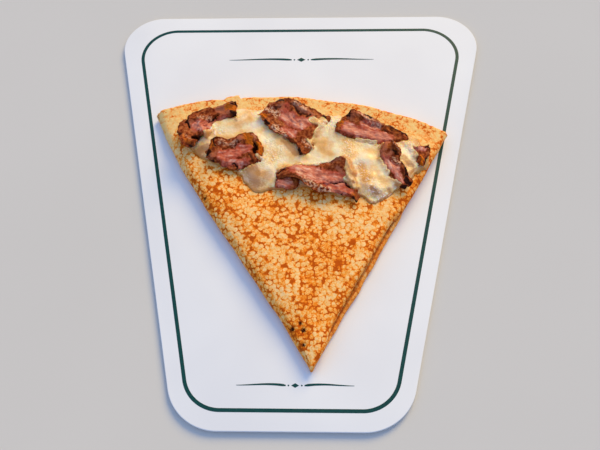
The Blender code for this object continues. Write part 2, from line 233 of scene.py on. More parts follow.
printedLine = dict(
    wideY=128.4, narrowY=-129.0, wideHalf=107.65, narrowHalf=53.2,  # the border's centre line
    wideRadius=21.6, narrowRadius=20.1, lineWidth=2.1, height=0.05, sunk=0.02)

dividers = [dict(centre=(1.5, 103.5), reach=47, thick=1.5, lozenge=(5.6, 3.3), gap=3.4, dots=1.1),
            dict(centre=(2.0, -115.6), reach=31, thick=1.2, lozenge=(4.2, 2.5), gap=2.8, dots=0.9)]
flourish = dict(lineSteps=40, dotSteps=24, wave=1.1, end=0.12)  # end: half the width at a line's tip


def taperedOutline(shape, inset):
    # The right half of the outline, from its wide end to its narrow end, and then the left.
    lean = (shape["wideHalf"] - shape["narrowHalf"]) / (shape["wideY"] - shape["narrowY"])
    secant = sqrt(1 + lean * lean)
    steps = board["cornerSteps"]
    points = []
    for end, part in ((1, "wide"), (-1, "narrow")):
        radius = shape[part + "Radius"]
        centreY = shape[part + "Y"] - end * radius
        centreX = shape["narrowHalf"] + lean * (centreY - shape["narrowY"]) - radius * secant
        first = pi / 2 if end > 0 else -atan(lean)
        last = -atan(lean) if end > 0 else -pi / 2
        for k in range(steps + 1):
            angle = first + (last - first) * k / steps
            points.append((centreX + (radius - inset) * cos(angle),
                           centreY + (radius - inset) * sin(angle)))
    return points + [(-x, y) for x, y in reversed(points)]


def sweepOutline(shape, profile):
    # Points and rings of an outline that follows a profile of insets and heights.
    points, rings = [], []
    for inset, height in profile:
        outline = taperedOutline(shape, inset)
        rings.append(range(len(points), len(points) + len(outline)))
        points += [(x, y, height) for x, y in outline]
    return points, rings


def makeBoard(material):
    top, bevel = board["thickness"], board["topBevel"]
    sideLow = top - bevel - board["sideHeight"]
    profile = [(board["undercut"], 0.0), (board["undercut"] * 0.9, 0.04), (0.18, sideLow - 0.12),
               (0.0, sideLow + 0.1)]
    for k in range(7):  # the top edge's round
        angle = pi / 2 * k / 6
        profile.append((bevel * (1 - cos(angle)), top - bevel + bevel * sin(angle)))
    points, rings = sweepOutline(board, profile)
    faces = skinRings(rings) + [tuple(rings[0]), tuple(reversed(rings[-1]))]
    return addMesh("board", points, faces, material, sharpAngle=board["sharpAngle"])


def makeBorder(material):
    # The printed line: a closed ribbon that follows the board's outline.
    low = board["thickness"] - printedLine["sunk"]
    high = board["thickness"] + printedLine["height"]
    half = printedLine["lineWidth"] / 2
    points, rings = sweepOutline(printedLine, [(half, low), (half, high), (-half, high), (-half, low)])
    return addMesh("printedBorder", points, skinRings(rings + rings[:1]), material,
                   sharpAngle=board["sharpAngle"])


def makeDivider(name, shape, material):
    # A plain printed flourish: a lozenge between two dots and two lines that taper away.
    low = board["thickness"] - printedLine["sunk"]
    high = board["thickness"] + printedLine["height"]
    centreX, centreY = shape["centre"]
    outlines = []
    halfWide, halfTall = shape["lozenge"][0] / 2, shape["lozenge"][1] / 2
    outlines.append([(halfWide, 0), (0, halfTall), (-halfWide, 0), (0, -halfTall)])
    steps, dotSteps = flourish["lineSteps"], flourish["dotSteps"]
    for side in (1, -1):
        dotX = side * (halfWide + shape["gap"] / 2)
        outlines.append([(dotX + shape["dots"] / 2 * cos(2 * pi * k / dotSteps),
                          shape["dots"] / 2 * sin(2 * pi * k / dotSteps)) for k in range(dotSteps)])
        start = halfWide + shape["gap"]
        upper, lower = [], []
        for k in range(steps + 1):
            u = k / steps
            x = side * (start + (shape["reach"] - start) * u)
            wave = flourish["wave"] * sin(pi * u) * (1 - u)
            taper = sin(pi * min(u * 4 + 0.12, 0.5)) * (1 - u) ** 0.8
            half = shape["thick"] / 2 * taper + flourish["end"]
            upper.append((x, wave + half))
            lower.append((x, wave - half))
        outlines.append(upper + lower[::-1])
    points, faces = [], []
    for outline in outlines:
        count, start = len(outline), len(points)
        points += [(centreX + x, centreY + y, z) for z in (low, high) for x, y in outline]
        rings = [range(start, start + count), range(start + count, start + 2 * count)]
        faces += skinRings(rings) + [tuple(rings[0]), tuple(rings[1])]
    return addMesh(name, points, faces, material, sharpAngle=board["sharpAngle"])


def melamineMaterial():
    # Melamine: white decor paper and amino resin pressed hot between polished plates.
    # That gives a hard, cool white face with a satin gloss and a faint orange peel.
    look = dict(white="#EBEAE8", shade="#E5E4E3", roughness=(0.62, 0.72), peel=3.0 * mm, cloud=60 * mm)
    material = newMaterial("pressedWhiteMelamine")
    place = addNode(material, "ShaderNodeTexCoord").outputs["Object"]
    cloud = addNode(material, "ShaderNodeTexNoise", {"Scale": 1 / look["cloud"], "Detail": 2.0},
                    {"Vector": place})
    colour = addNode(material, "ShaderNodeValToRGB",
                     {"stops": [(0.35, look["shade"]), (0.65, look["white"])]}, {"Fac": cloud})
    gloss = addNode(material, "ShaderNodeMapRange",
                    {"To Min": look["roughness"][0], "To Max": look["roughness"][1]}, {"Value": cloud})
    peel = addNode(material, "ShaderNodeTexNoise", {"Scale": 1 / look["peel"], "Detail": 1.0},
                   {"Vector": place})
    bump = addNode(material, "ShaderNodeBump", {"Strength": 0.12, "Distance": 0.02 * mm},
                   {"Height": peel})
    return finishMaterial(material, {"IOR": 1.5},
                          {"Base Color": colour, "Roughness": gloss, "Normal": bump})


def inkMaterial():
    # Screen ink, dark green, printed on the decor paper under the resin.
    # It keeps the board's satin gloss and is a touch thinner where the mesh let less through.
    look = dict(dense="#033B37", thin="#08453F", roughness=0.38, mesh=1.2 * mm)
    material = newMaterial("darkGreenScreenInk")
    place = addNode(material, "ShaderNodeTexCoord").outputs["Object"]
    grain = addNode(material, "ShaderNodeTexNoise", {"Scale": 1 / look["mesh"], "Detail": 3.0},
                    {"Vector": place})
    colour = addNode(material, "ShaderNodeValToRGB",
                     {"stops": [(0.35, look["dense"]), (0.7, look["thin"])]}, {"Fac": grain})
    return finishMaterial(material, {"IOR": 1.5, "Specular IOR Level": 0.2,
                                     "Roughness": look["roughness"]}, {"Base Color": colour})


# The crepe: folded in half and then in three, so it is a wedge with one thick fold on the
# left and two folds, one on the other, on the right

crepe = dict(
    tip=(10.8, -106.5), leftCorner=(-88.3, 55.9), rightCorner=(91.2, 39.6),
    thickness=10.6, tipThickness=8.8, rimThickness=8.6, tipHalfWidth=1.6, tipRound=1.6,
    rimRise=18.0, leftBow=3.9, rightBow=0.7, edgeWobble=0.7, swell=0.55, swellSpacing=34,
    tipPart=0.4, rimPart=0.14, cornerBlend=6, columns=280, rows=280, sideSteps=15,
    leftFall=(14, 2.4), rightFall=(9, 1.2),  # width and depth of the top's fall beside each side
    leftFold=(4.2, (1.0,)), rightFold=(2.2, (0.56, 0.44)), tipFold=(2.0, (0.55, 0.45)),
    rimEdge=(1.1, (0.18, 0.16, 0.17, 0.16, 0.17, 0.16)),  # depth of the rounding, share of each edge
    peekDepth=2.3, peekStart=0.05, peekEnd=0.66, peekFade=0.10, upperOverhang=0.9,
    lowerBulge=(0.8, 0.30, 0.03),  # how far it stands out, where and over what part of the side
    rimRagged=1.3, rimRaggedAcross=9.0, rimNibble=0.45,
    flap=(0.218, 0.274), flapEdge=0.006, flapReach=2.3,  # one loose layer at the rim
    cellSize=4.0, cellWarp=0.34, cellRise=0.12, creaseSize=9, creaseRise=0.18, grainSize=1.3,
    grainRise=0.03, browningSize=15, browningMiddle=0.5, browningReach=0.42,
    patchSpread=1.25, patchAmount=0.55,
    # how much browner, and over what width: the right side, the rim, the left side, round pits
    rightBrown=(0.6, 1.6), rimBrown=(0.35, 2.2), leftBrown=(0.15, 2), pitBrown=(0.9, 2.4),
    # places on the top that are browner, or paler, than the rest: x, y, radius and how much;
    # four of the browner ones are painted shade below the lower middle slice
    brownAndShadePatches=[(16.5, 59.2, 3, 1.0), (24.5, 56.1, 2.4, 0.8), (35.5, 57.5, 2.6, 1.0),
        (48.2, 51.4, 2.4, 1.0), (64.4, 46.8, 3, 1.0), (78.5, 40.1, 3, 1.0), (84.3, 27.1, 3, 0.9),
        (79.7, 19.3, 2.4, 1.0), (-68.8, 43.7, 2.6, 1.1), (-75.6, 50.5, 2.2, 1.0), (-65.7, 57.3, 3, 0.9),
        (-44.5, 65.7, 2.4, 1.1), (-55.5, 62.6, 2.6, 0.9), (-35.5, 61.0, 2.6, 0.7),
        (-50.6, 54.9, 2.4, 0.7), (90.0, 33.5, 2.2, 0.7), (-23.2, 64.8, 2.0, 0.7), (29.3, 51.5, 2.4, 0.9),
        (56.8, 54.4, 2.0, 0.6), (-70.4, 34.1, 2.4, 1.0), (-62.0, 50.4, 2, 0.6), (9.0, -32.9, 14, 0.3),
        # (14.4, -4.1), (23.7, -8.1), (4.5, 2.7) and (31.6, -12.8) are painted shade below the lower
        # middle slice
        (3.1, -18.1, 6, 0.3), (20.2, -40.5, 7, 0.3), (14.4, -4.1, 4.5, 0.6), (23.7, -8.1, 4.5, 0.7),
        (4.5, 2.7, 4, 0.6), (31.6, -12.8, 4, 0.6), (-41.8, 12.5, 4, 0.5), (-32.5, 4.1, 4, 0.5),
        (-54.3, 21.0, 4, 0.4), (-10.7, -13.3, 5, 0.5), (-23.1, -3.9, 5, 0.5), (-18.3, -23.8, 5, 0.3),
        (9.0, -32.7, 5, 0.5), (-2.0, -41.6, 5, 0.4), (25.2, -46.5, 7, 1.0), (38.1, -32.7, 4.5, 0.5),
        (11.5, -53.8, 5, 0.6), (12.6, -62.9, 4.5, 0.5), (19.1, -58.7, 4, 0.4), (6.8, -72.9, 7, 0.9),
        (6.0, -88.9, 5, 0.8), (62.4, 42.4, 5, 0.6), (73.1, 40.2, 4, 0.5), (78.7, 33.6, 4, 0.5),
        (50.6, 49.9, 4, 0.5), (-77.6, 49.0, 5, 0.6), (-52.5, 58.8, 4, 0.7), (-25.9, 59.4, 4.5, 0.7),
        (1.7, 61.5, 4, 0.5), (29.4, 59.9, 5, 0.7), (47.5, 50.7, 5, 0.6), (65.3, 43.2, 5, 0.6),
        (79.6, 32.2, 5, 0.5), (-11.3, -63.0, 4.5, 0.5), (-8.6, -77.0, 4.5, 0.8), (25.1, -67.6, 4, 0.7),
        (-39.5, -11.3, 6.5, 0.5), (-25.8, -32.8, 5, 0.4), (1.1, -30.8, 4.5, 0.4),
        (-30.5, -49.1, 5.5, 0.3), (16.0, -78.7, 5, 0.5)],
    palePatches=[(-80.3, 35.6, 4, 1.0), (-65.6, 19.6, 4, 1.0), (-74.6, 26.8, 3, 0.8),
        (-83.8, 46.0, 3, 0.6), (25.8, -27.6, 5, 0.6), (8.6, -40.9, 4.5, 0.5), (36.7, -47.7, 5, 0.5),
        (-5.1, -68.9, 4.5, 0.6), (15.9, -68.2, 4.5, 0.6), (20.2, -9.3, 12, 0.5), (-2.9, -4.6, 6.5, 0.4),
        (45.5, -23.7, 4.5, 0.5)],
    pits=[(0.1, -87.4, 1.5), (4.3, -84.6, 1.2), (6.0, -88.5, 1.6), (6.1, -96.4, 1.2), (-11.4, -75.5, 0.9),
        (-52.7, -6.7, 1.0)],
    pitDepth=0.7)

crepeBase = board["thickness"] + 0.35


def leftOf(direction):
    return np.array((-direction[1], direction[0])) / np.hypot(*direction)


def sideTable(corner, hand, bow, t):
    # Points along the left (hand 1) or right (hand -1) side, from tip to corner.
    tip = np.array(crepe["tip"])
    run = np.array(corner) - tip
    wobble = crepe["edgeWobble"] * np.array([noise.noise(Vector((v * 11, hand * 7.3, 2.1))) for v in t])
    out = bow * np.sin(pi * t ** 1.8) + wobble + crepe["tipHalfWidth"] * (1 - t) ** 3
    return tip + run * t[:, None] + leftOf(run) * hand * out[:, None]


sideSteps = np.linspace(0, 1, 1201)
leftSide = sideTable(crepe["leftCorner"], 1, crepe["leftBow"], sideSteps)
rightSide = sideTable(crepe["rightCorner"], -1, crepe["rightBow"], sideSteps)
rimRun = np.array(crepe["rightCorner"]) - np.array(crepe["leftCorner"])
rimMiddle = (np.array(crepe["leftCorner"]) + crepe["rightCorner"]) / 2
crepeLength = np.hypot(*(rimMiddle - crepe["tip"])) + crepe["rimRise"]


def crepeSides(t):
    inside = np.clip(t, 0, 1)
    return [np.stack([np.interp(inside, sideSteps, side[:, k]) for k in (0, 1)], -1)
            for side in (leftSide, rightSide)]


def crepeWidth(t):
    left, right = crepeSides(t)
    return np.hypot(right[..., 0] - left[..., 0], right[..., 1] - left[..., 1])


def crepePoint(s, t):
    # Points of the wedge: s runs from the left side to the right, t from tip to rim.
    inside = np.clip(t, 0, 1)
    left, right = crepeSides(t)
    rise = crepe["rimRise"] * inside - crepe["tipRound"] * (1 - inside) ** 8
    out = rise * 4 * s * (1 - s) + (t - inside) * crepeLength
    return left + (right - left) * s[..., None] + leftOf(rimRun) * out[..., None]


def stackEdge(fold, u, offsets):
    # Inset and height share at u, from the top (0) to the bottom (1) of stacked edges.
    depth, shares = fold
    place = min(u * len(shares), len(shares) - 1e-9)
    level = int(place)
    v = place - level
    offset = offsets[level]
    if v == 0 and level > 0:
        offset = np.maximum(offsets[level - 1], offset)
    above = sum(shares[:level])
    return depth * (1 - sin(pi * v)) + offset, 1 - above - shares[level] * (1 - cos(pi * v)) / 2


def rightOffsets(t):
    fade = crepe["peekFade"]
    peek = smoothStep((t - crepe["peekStart"]) / fade) * smoothStep((crepe["peekEnd"] - t) / fade)
    reach, place, width = crepe["lowerBulge"]
    lower = crepe["upperOverhang"] * (1 - peek) - reach * bell((t - place) / width)
    return crepe["peekDepth"] * peek, lower


def rimOffsets(s):
    start, end = crepe["flap"]
    flap = smoothStep((s - start) / crepe["flapEdge"]) * smoothStep((end - s) / crepe["flapEdge"])
    layers = []
    for level in range(len(crepe["rimEdge"][1])):
        group = level // 2  # two layers to each fold
        across = [(v * crepe["rimRaggedAcross"], group * 5.7, 0.4) for v in s.ravel()]
        fine = [(v * 60, level * 3.3, 7.0) for v in s.ravel()]
        ragged = crepe["rimRagged"] * noiseAt(across, 1) + crepe["rimNibble"] * noiseAt(fine, 1)
        layers.append(ragged.reshape(s.shape) - crepe["flapReach"] * flap * (1, 0.5, 0)[group])
    return layers


def crepeEdgePlace(s, t, u, rimLayers):
    # Where points (s, t) lie once the sides are at u, and the share of the height there.
    left, leftShare = stackEdge(crepe["leftFold"], u, (0.0,))
    right, rightShare = stackEdge(crepe["rightFold"], u, rightOffsets(t))
    tip, tipShare = stackEdge(crepe["tipFold"], u, (0.0, 0.0))
    rim, rimShare = stackEdge(crepe["rimEdge"], u, rimLayers)
    tIn = tip / crepeLength + t * (1 - (tip + rim) / crepeLength)
    width = crepeWidth(tIn)
    room = width + left + right
    sIn = left / room + s * (1 - (left + right) / room)
    distances = (s * width, (1 - s) * width, t * crepeLength, (1 - t) * crepeLength)
    weights = [bell(distance / crepe["cornerBlend"]) for distance in distances]
    shares = (leftShare, rightShare, tipShare, rimShare)
    total = sum(weights) + 1e-12
    return sIn, tIn, sum(w * f for w, f in zip(weights, shares)) / total


def seamAt(s, t, u):
    # 1 in the grooves between stacked edges, u of the way down the sides, and 0 elsewhere: where the
    # batter paints shade into the grooves.
    distances = ((1 - s) * crepeWidth(t), t * crepeLength, (1 - t) * crepeLength)
    seam = np.zeros(len(s))
    for distance, fold in zip(distances, (crepe["rightFold"], crepe["tipFold"], crepe["rimEdge"])):
        shares = fold[1]
        grooveShade = max(bell((u * len(shares) - k) / 0.12) for k in range(1, len(shares)))
        seam = np.maximum(seam, grooveShade * bell(distance / crepe["cornerBlend"]))
    return seam


def crepeRise(s, t):
    # Height of the crepe's top over its underside, before the fine relief.
    width = crepeWidth(t)
    full = crepe["thickness"]
    rise = full - (full - crepe["tipThickness"]) * (1 - smoothStep(t / crepe["tipPart"]))
    rise = rise - (full - crepe["rimThickness"]) * smoothStep((t - 1) / crepe["rimPart"] + 1)
    for distance, (reach, depth) in ((s * width, crepe["leftFall"]),
                                     ((1 - s) * width, crepe["rightFall"])):
        rise = rise - depth * (1 - np.clip(distance / reach, 0, 1)) ** 2
    place = crepePoint(s, t).reshape(-1, 2) / crepe["swellSpacing"]
    swell = [noise.noise(Vector((x, y, 4.2))) for x, y in place]
    return rise + crepe["swell"] * np.array(swell).reshape(rise.shape)


def makeCrepe(material):
    columns, rows = crepe["columns"], crepe["rows"]
    s, t = np.meshgrid(np.linspace(0, 1, columns + 1), np.linspace(0, 1, rows + 1))
    layers = rimOffsets(s[:1])
    sIn, tIn, share = crepeEdgePlace(s, t, 0.0, [np.repeat(layer, rows + 1, 0) for layer in layers])
    flat = crepePoint(sIn, tIn)
    points = [np.concatenate([flat, (crepeBase + crepeRise(sIn, tIn))[..., None]], -1).reshape(-1, 3)]
    faces = gridFaces(columns, rows)
    border = gridBorder(columns, rows)
    rings = [[j * (columns + 1) + i for i, j in border]]
    count = len(points[0])
    bs = np.array([s[j, i] for i, j in border])
    bt = np.array([t[j, i] for i, j in border])
    borderLayers = [np.interp(bs, s[0], layer[0]) for layer in layers]
    seams = [np.zeros(count)]
    for k in range(1, crepe["sideSteps"] + 1):
        u = k / crepe["sideSteps"]
        seams.append(seamAt(bs, bt, u))
        sIn, tIn, share = crepeEdgePlace(bs, bt, u, borderLayers)
        ring = np.column_stack([crepePoint(sIn, tIn), crepeBase + crepeRise(sIn, tIn) * share])
        rings.append(range(count, count + len(ring)))
        count += len(ring)
        points.append(ring)
    faces += skinRings(rings) + [tuple(rings[-1])]
    points = np.concatenate(points)
    walls = cellsAt(points, crepe["cellSize"], crepe["cellWarp"])
    browning = layeredNoise(points, crepe["browningSize"], 3.0)
    browning = crepe["browningMiddle"] + crepe["browningReach"] * browning
    for amount, patches in ((1, crepe["brownAndShadePatches"]), (-1, crepe["palePatches"])):
        for x, y, radius, strength in patches:
            far = np.hypot(points[:, 0] - x, points[:, 1] - y) / (radius * crepe["patchSpread"])
            browning += amount * crepe["patchAmount"] * strength * bell(far)
    pit, halo = np.zeros(len(points)), np.zeros(len(points))
    for x, y, radius in crepe["pits"]:
        far = np.hypot(points[:, 0] - x, points[:, 1] - y) / radius
        pit = np.maximum(pit, bell(far))
        halo = np.maximum(halo, bell(far / crepe["pitBrown"][1]))
    pit *= points[:, 2] > crepeBase + 3
    across = np.concatenate([s.ravel(), np.tile(bs, crepe["sideSteps"])])
    along = np.concatenate([t.ravel(), np.tile(bt, crepe["sideSteps"])])
    width = crepeWidth(along)
    for distance, key in (((1 - across) * width, "rightBrown"), ((1 - along) * crepeLength, "rimBrown"),
                          (across * width, "leftBrown")):
        amount, reach = crepe[key]
        browning += amount * bell(distance / reach)
    browning += crepe["pitBrown"][0] * halo
    height = points[:, 2] - crepeBase
    piece = addMesh("foldedCrepe", points, faces, material,
                    {"browning": browning, "pit": pit, "height": height, "rim": along,
                     "seam": np.concatenate(seams)})
    relief = crepe["cellRise"] * smoothStep(walls / 0.45)
    relief += crepe["creaseRise"] * layeredNoise(points, crepe["creaseSize"], 5.0, 2)
    relief += crepe["grainRise"] * noiseAt(points, crepe["grainSize"], 6.0)
    relief -= crepe["pitDepth"] * pit
    relief *= smoothStep(height / 1.5)
    pushAlongNormals(piece, relief)
    return piece


def batterMaterial():
    # Wheat batter, griddled: where bubbles held it off the iron it stays pale and soft,
    # and where it touched, between the bubbles, it browned to a lace of orange brown.
    look = dict(pale="#FFD08E", warm="#FFC06C", gold="#FC9A30", brown="#EC7612", dark="#C45408",
                burnt="#3C1404", side="#F29A42", soft="#F1CA80", grooveShade="#7A2C08", cell=2.5 * mm,
                drift=3.2 * mm, wander=1.0 * mm, arcs=4.5 * mm, blotch=1.5 * mm, pinhole=1.7 * mm,
                grain=0.75 * mm, butter=26 * mm, roughness=(0.45, 0.65), line=(0.42, 0.66),
                lineBreak=(0.38, 0.6), lineTone=0.72, rimFade=(0.8, 0.93, 0.25), own=0.3, dome=0.24,
                tone=-1.3, toastRange=(-0.32, 0.6), softRim=(0.84, 0.96, 0.75),
                untoasted=(0.42, 0.05), low=(6.0, 1.0, 0.75), char=(0.3, 0.75),
                seam=(0.35, 0.9, 0.75))
    material = newMaterial("griddledBatter")
    place = addNode(material, "ShaderNodeTexCoord").outputs["Object"]
    browning, pit, height, rim, seam = (
        addNode(material, "ShaderNodeAttribute", {"attribute_name": key}).outputs["Fac"]
        for key in ("browning", "pit", "height", "rim", "seam"))

    # round bubbles on wandering places: the distance from each one's middle
    drift = addNode(material, "ShaderNodeTexNoise", {"Scale": 1 / look["drift"], "Detail": 2.0},
                    {"Vector": place})
    bent = addNode(material, "ShaderNodeVectorMath",
                   {"operation": "MULTIPLY_ADD", 1: (look["wander"] * 2,) * 3},
                   {0: drift.outputs["Color"], 2: place})
    bubbles = addNode(material, "ShaderNodeTexVoronoi",
                      {"feature": "SMOOTH_F1", "Scale": 1 / look["cell"], "Randomness": 0.85,
                       "Smoothness": 0.3}, {"Vector": bent})
    grain = addNode(material, "ShaderNodeTexNoise",
                    {"Scale": 1 / look["grain"], "Detail": 5.0, "Roughness": 0.65}, {"Vector": place})
    arcs = addNode(material, "ShaderNodeTexNoise", {"Scale": 1 / look["arcs"], "Detail": 3.0},
                   {"Vector": place})

    # browning: thin lines where bubbles met, broken into arcs, and blotches in brown patches
    walls = addNode(material, "ShaderNodeTexVoronoi",
                    {"feature": "DISTANCE_TO_EDGE", "Scale": 1 / look["cell"], "Randomness": 0.85},
                    {"Vector": bent})
    rounded = addNode(material, "ShaderNodeMath", {"operation": "MULTIPLY_ADD", 1: -0.6},
                      {0: walls, 2: bubbles})
    line = addNode(material, "ShaderNodeMapRange",
                   {"interpolation_type": "SMOOTHSTEP", "From Min": look["line"][0],
                    "From Max": look["line"][1]}, {"Value": rounded})
    start, full = look["lineBreak"]
    arc = addNode(material, "ShaderNodeMapRange",
                  {"From Min": start, "From Max": full, "To Max": look["lineTone"]}, {"Value": arcs})
    start, full, least = look["rimFade"]
    fade = addNode(material, "ShaderNodeMapRange",
                   {"From Min": start, "From Max": full, "To Min": 1.0, "To Max": least},
                   {"Value": rim})
    faded = addNode(material, "ShaderNodeMath", {"operation": "MULTIPLY"}, {0: fade, 1: arc})
    lines = addNode(material, "ShaderNodeMath", {"operation": "MULTIPLY"}, {0: line, 1: faded})
    blotch = addNode(material, "ShaderNodeTexNoise", {"Scale": 1 / look["blotch"], "Detail": 2.0},
                     {"Vector": place})
    evened = addNode(material, "ShaderNodeMapRange",
                     {"interpolation_type": "SMOOTHSTEP", "From Min": -0.2, "From Max": 1.5,
                      "To Max": 1.15}, {"Value": browning})
    patches = addNode(material, "ShaderNodeMath", {"operation": "MULTIPLY_ADD", 1: 0.4, 2: look["tone"]},
                      {0: evened})
    broken = addNode(material, "ShaderNodeMath", {"operation": "MULTIPLY_ADD", 1: 0.65},
                     {0: blotch, 2: patches})
    firmer = addNode(material, "ShaderNodeMath", {"operation": "MULTIPLY_ADD", 1: 0.9, 2: 0.5},
                     {0: browning})
    outlined = addNode(material, "ShaderNodeMath", {"operation": "MULTIPLY_ADD"},
                       {0: lines, 1: firmer, 2: broken})
    speckledToast = addNode(material, "ShaderNodeMath", {"operation": "MULTIPLY_ADD", 1: 1.0},
                            {0: grain, 2: outlined})
    ownToast = addNode(material, "ShaderNodeMath", {"operation": "MULTIPLY_ADD", 1: look["own"]},
                       {0: bubbles.outputs["Color"], 2: speckledToast})
    toast = addNode(material, "ShaderNodeMath", {"operation": "MULTIPLY_ADD", 1: look["dome"]},
                    {0: rounded, 2: ownToast})
    toasted = addNode(material, "ShaderNodeMapRange",
                      {"From Min": look["toastRange"][0], "From Max": look["toastRange"][1]},
                      {"Value": toast})
    lace = addNode(material, "ShaderNodeValToRGB",
                   {"stops": [(0.04, look["pale"]), (0.3, look["warm"]), (0.5, look["gold"]),
                              (0.72, look["brown"]), (1.0, look["dark"])]}, {"Fac": toasted})

    # the colours over the lace: pinholes, the sides, the soft rim, burnt pits and painted shade in the
    # seams
    holes = addNode(material, "ShaderNodeTexVoronoi", {"Scale": 1 / look["pinhole"]}, {"Vector": place})
    hole = addNode(material, "ShaderNodeMapRange", {"From Min": 0.20, "From Max": 0.08, "To Max": 0.7},
                   {"Value": holes})
    colour = layColour(material, lace, look["brown"], hole)
    colour = layColour(material, colour, look["side"], height, *look["low"])
    start, full, most = look["softRim"]
    rimward = addNode(material, "ShaderNodeMapRange",
                      {"From Min": start, "From Max": full, "To Max": most}, {"Value": rim})
    start, full = look["untoasted"]
    untoasted = addNode(material, "ShaderNodeMapRange", {"From Min": start, "From Max": full},
                        {"Value": toast})
    softened = addNode(material, "ShaderNodeMath", {"operation": "MULTIPLY"}, {0: rimward, 1: untoasted})
    colour = layColour(material, colour, look["soft"], softened)
    doubt = addNode(material, "ShaderNodeMath", {"operation": "MULTIPLY_ADD", 1: 1.6, 2: -0.8},
                    {0: grain})
    burning = addNode(material, "ShaderNodeMath", {"operation": "ADD"}, {0: pit, 1: doubt})
    colour = layColour(material, colour, look["burnt"], burning, *look["char"])
    # painted shade: dark brown in the grooves between stacked layers
    colour = layColour(material, colour, look["grooveShade"], seam, *look["seam"])

    # butter leaves some of it glossier; bubbles and pinholes are raised and sunk
    butter = addNode(material, "ShaderNodeTexNoise", {"Scale": 1 / look["butter"], "Detail": 2.0},
                     {"Vector": place})
    gloss = addNode(material, "ShaderNodeMapRange",
                    {"To Min": look["roughness"][0], "To Max": look["roughness"][1]}, {"Value": butter})
    dome = addNode(material, "ShaderNodeMapRange",
                   {"interpolation_type": "SMOOTHSTEP", "From Min": 0.45, "From Max": -0.3},
                   {"Value": rounded})
    domes = addNode(material, "ShaderNodeBump", {"Strength": 0.22, "Distance": 0.3 * mm},
                    {"Height": dome})
    dents = addNode(material, "ShaderNodeMath", {"operation": "MULTIPLY_ADD", 1: -0.9},
                    {0: hole, 2: grain})
    bump = addNode(material, "ShaderNodeBump", {"Strength": 0.6, "Distance": 0.11 * mm},
                   {"Height": dents, "Normal": domes})
    return finishMaterial(
        material, {"IOR": 1.4, "Specular IOR Level": 0.07, "Subsurface Weight": 0.08,
                   "Subsurface Radius": (1.0, 0.45, 0.2), "Subsurface Scale": 1.0 * mm},
        {"Base Color": colour, "Roughness": gloss, "Normal": bump})
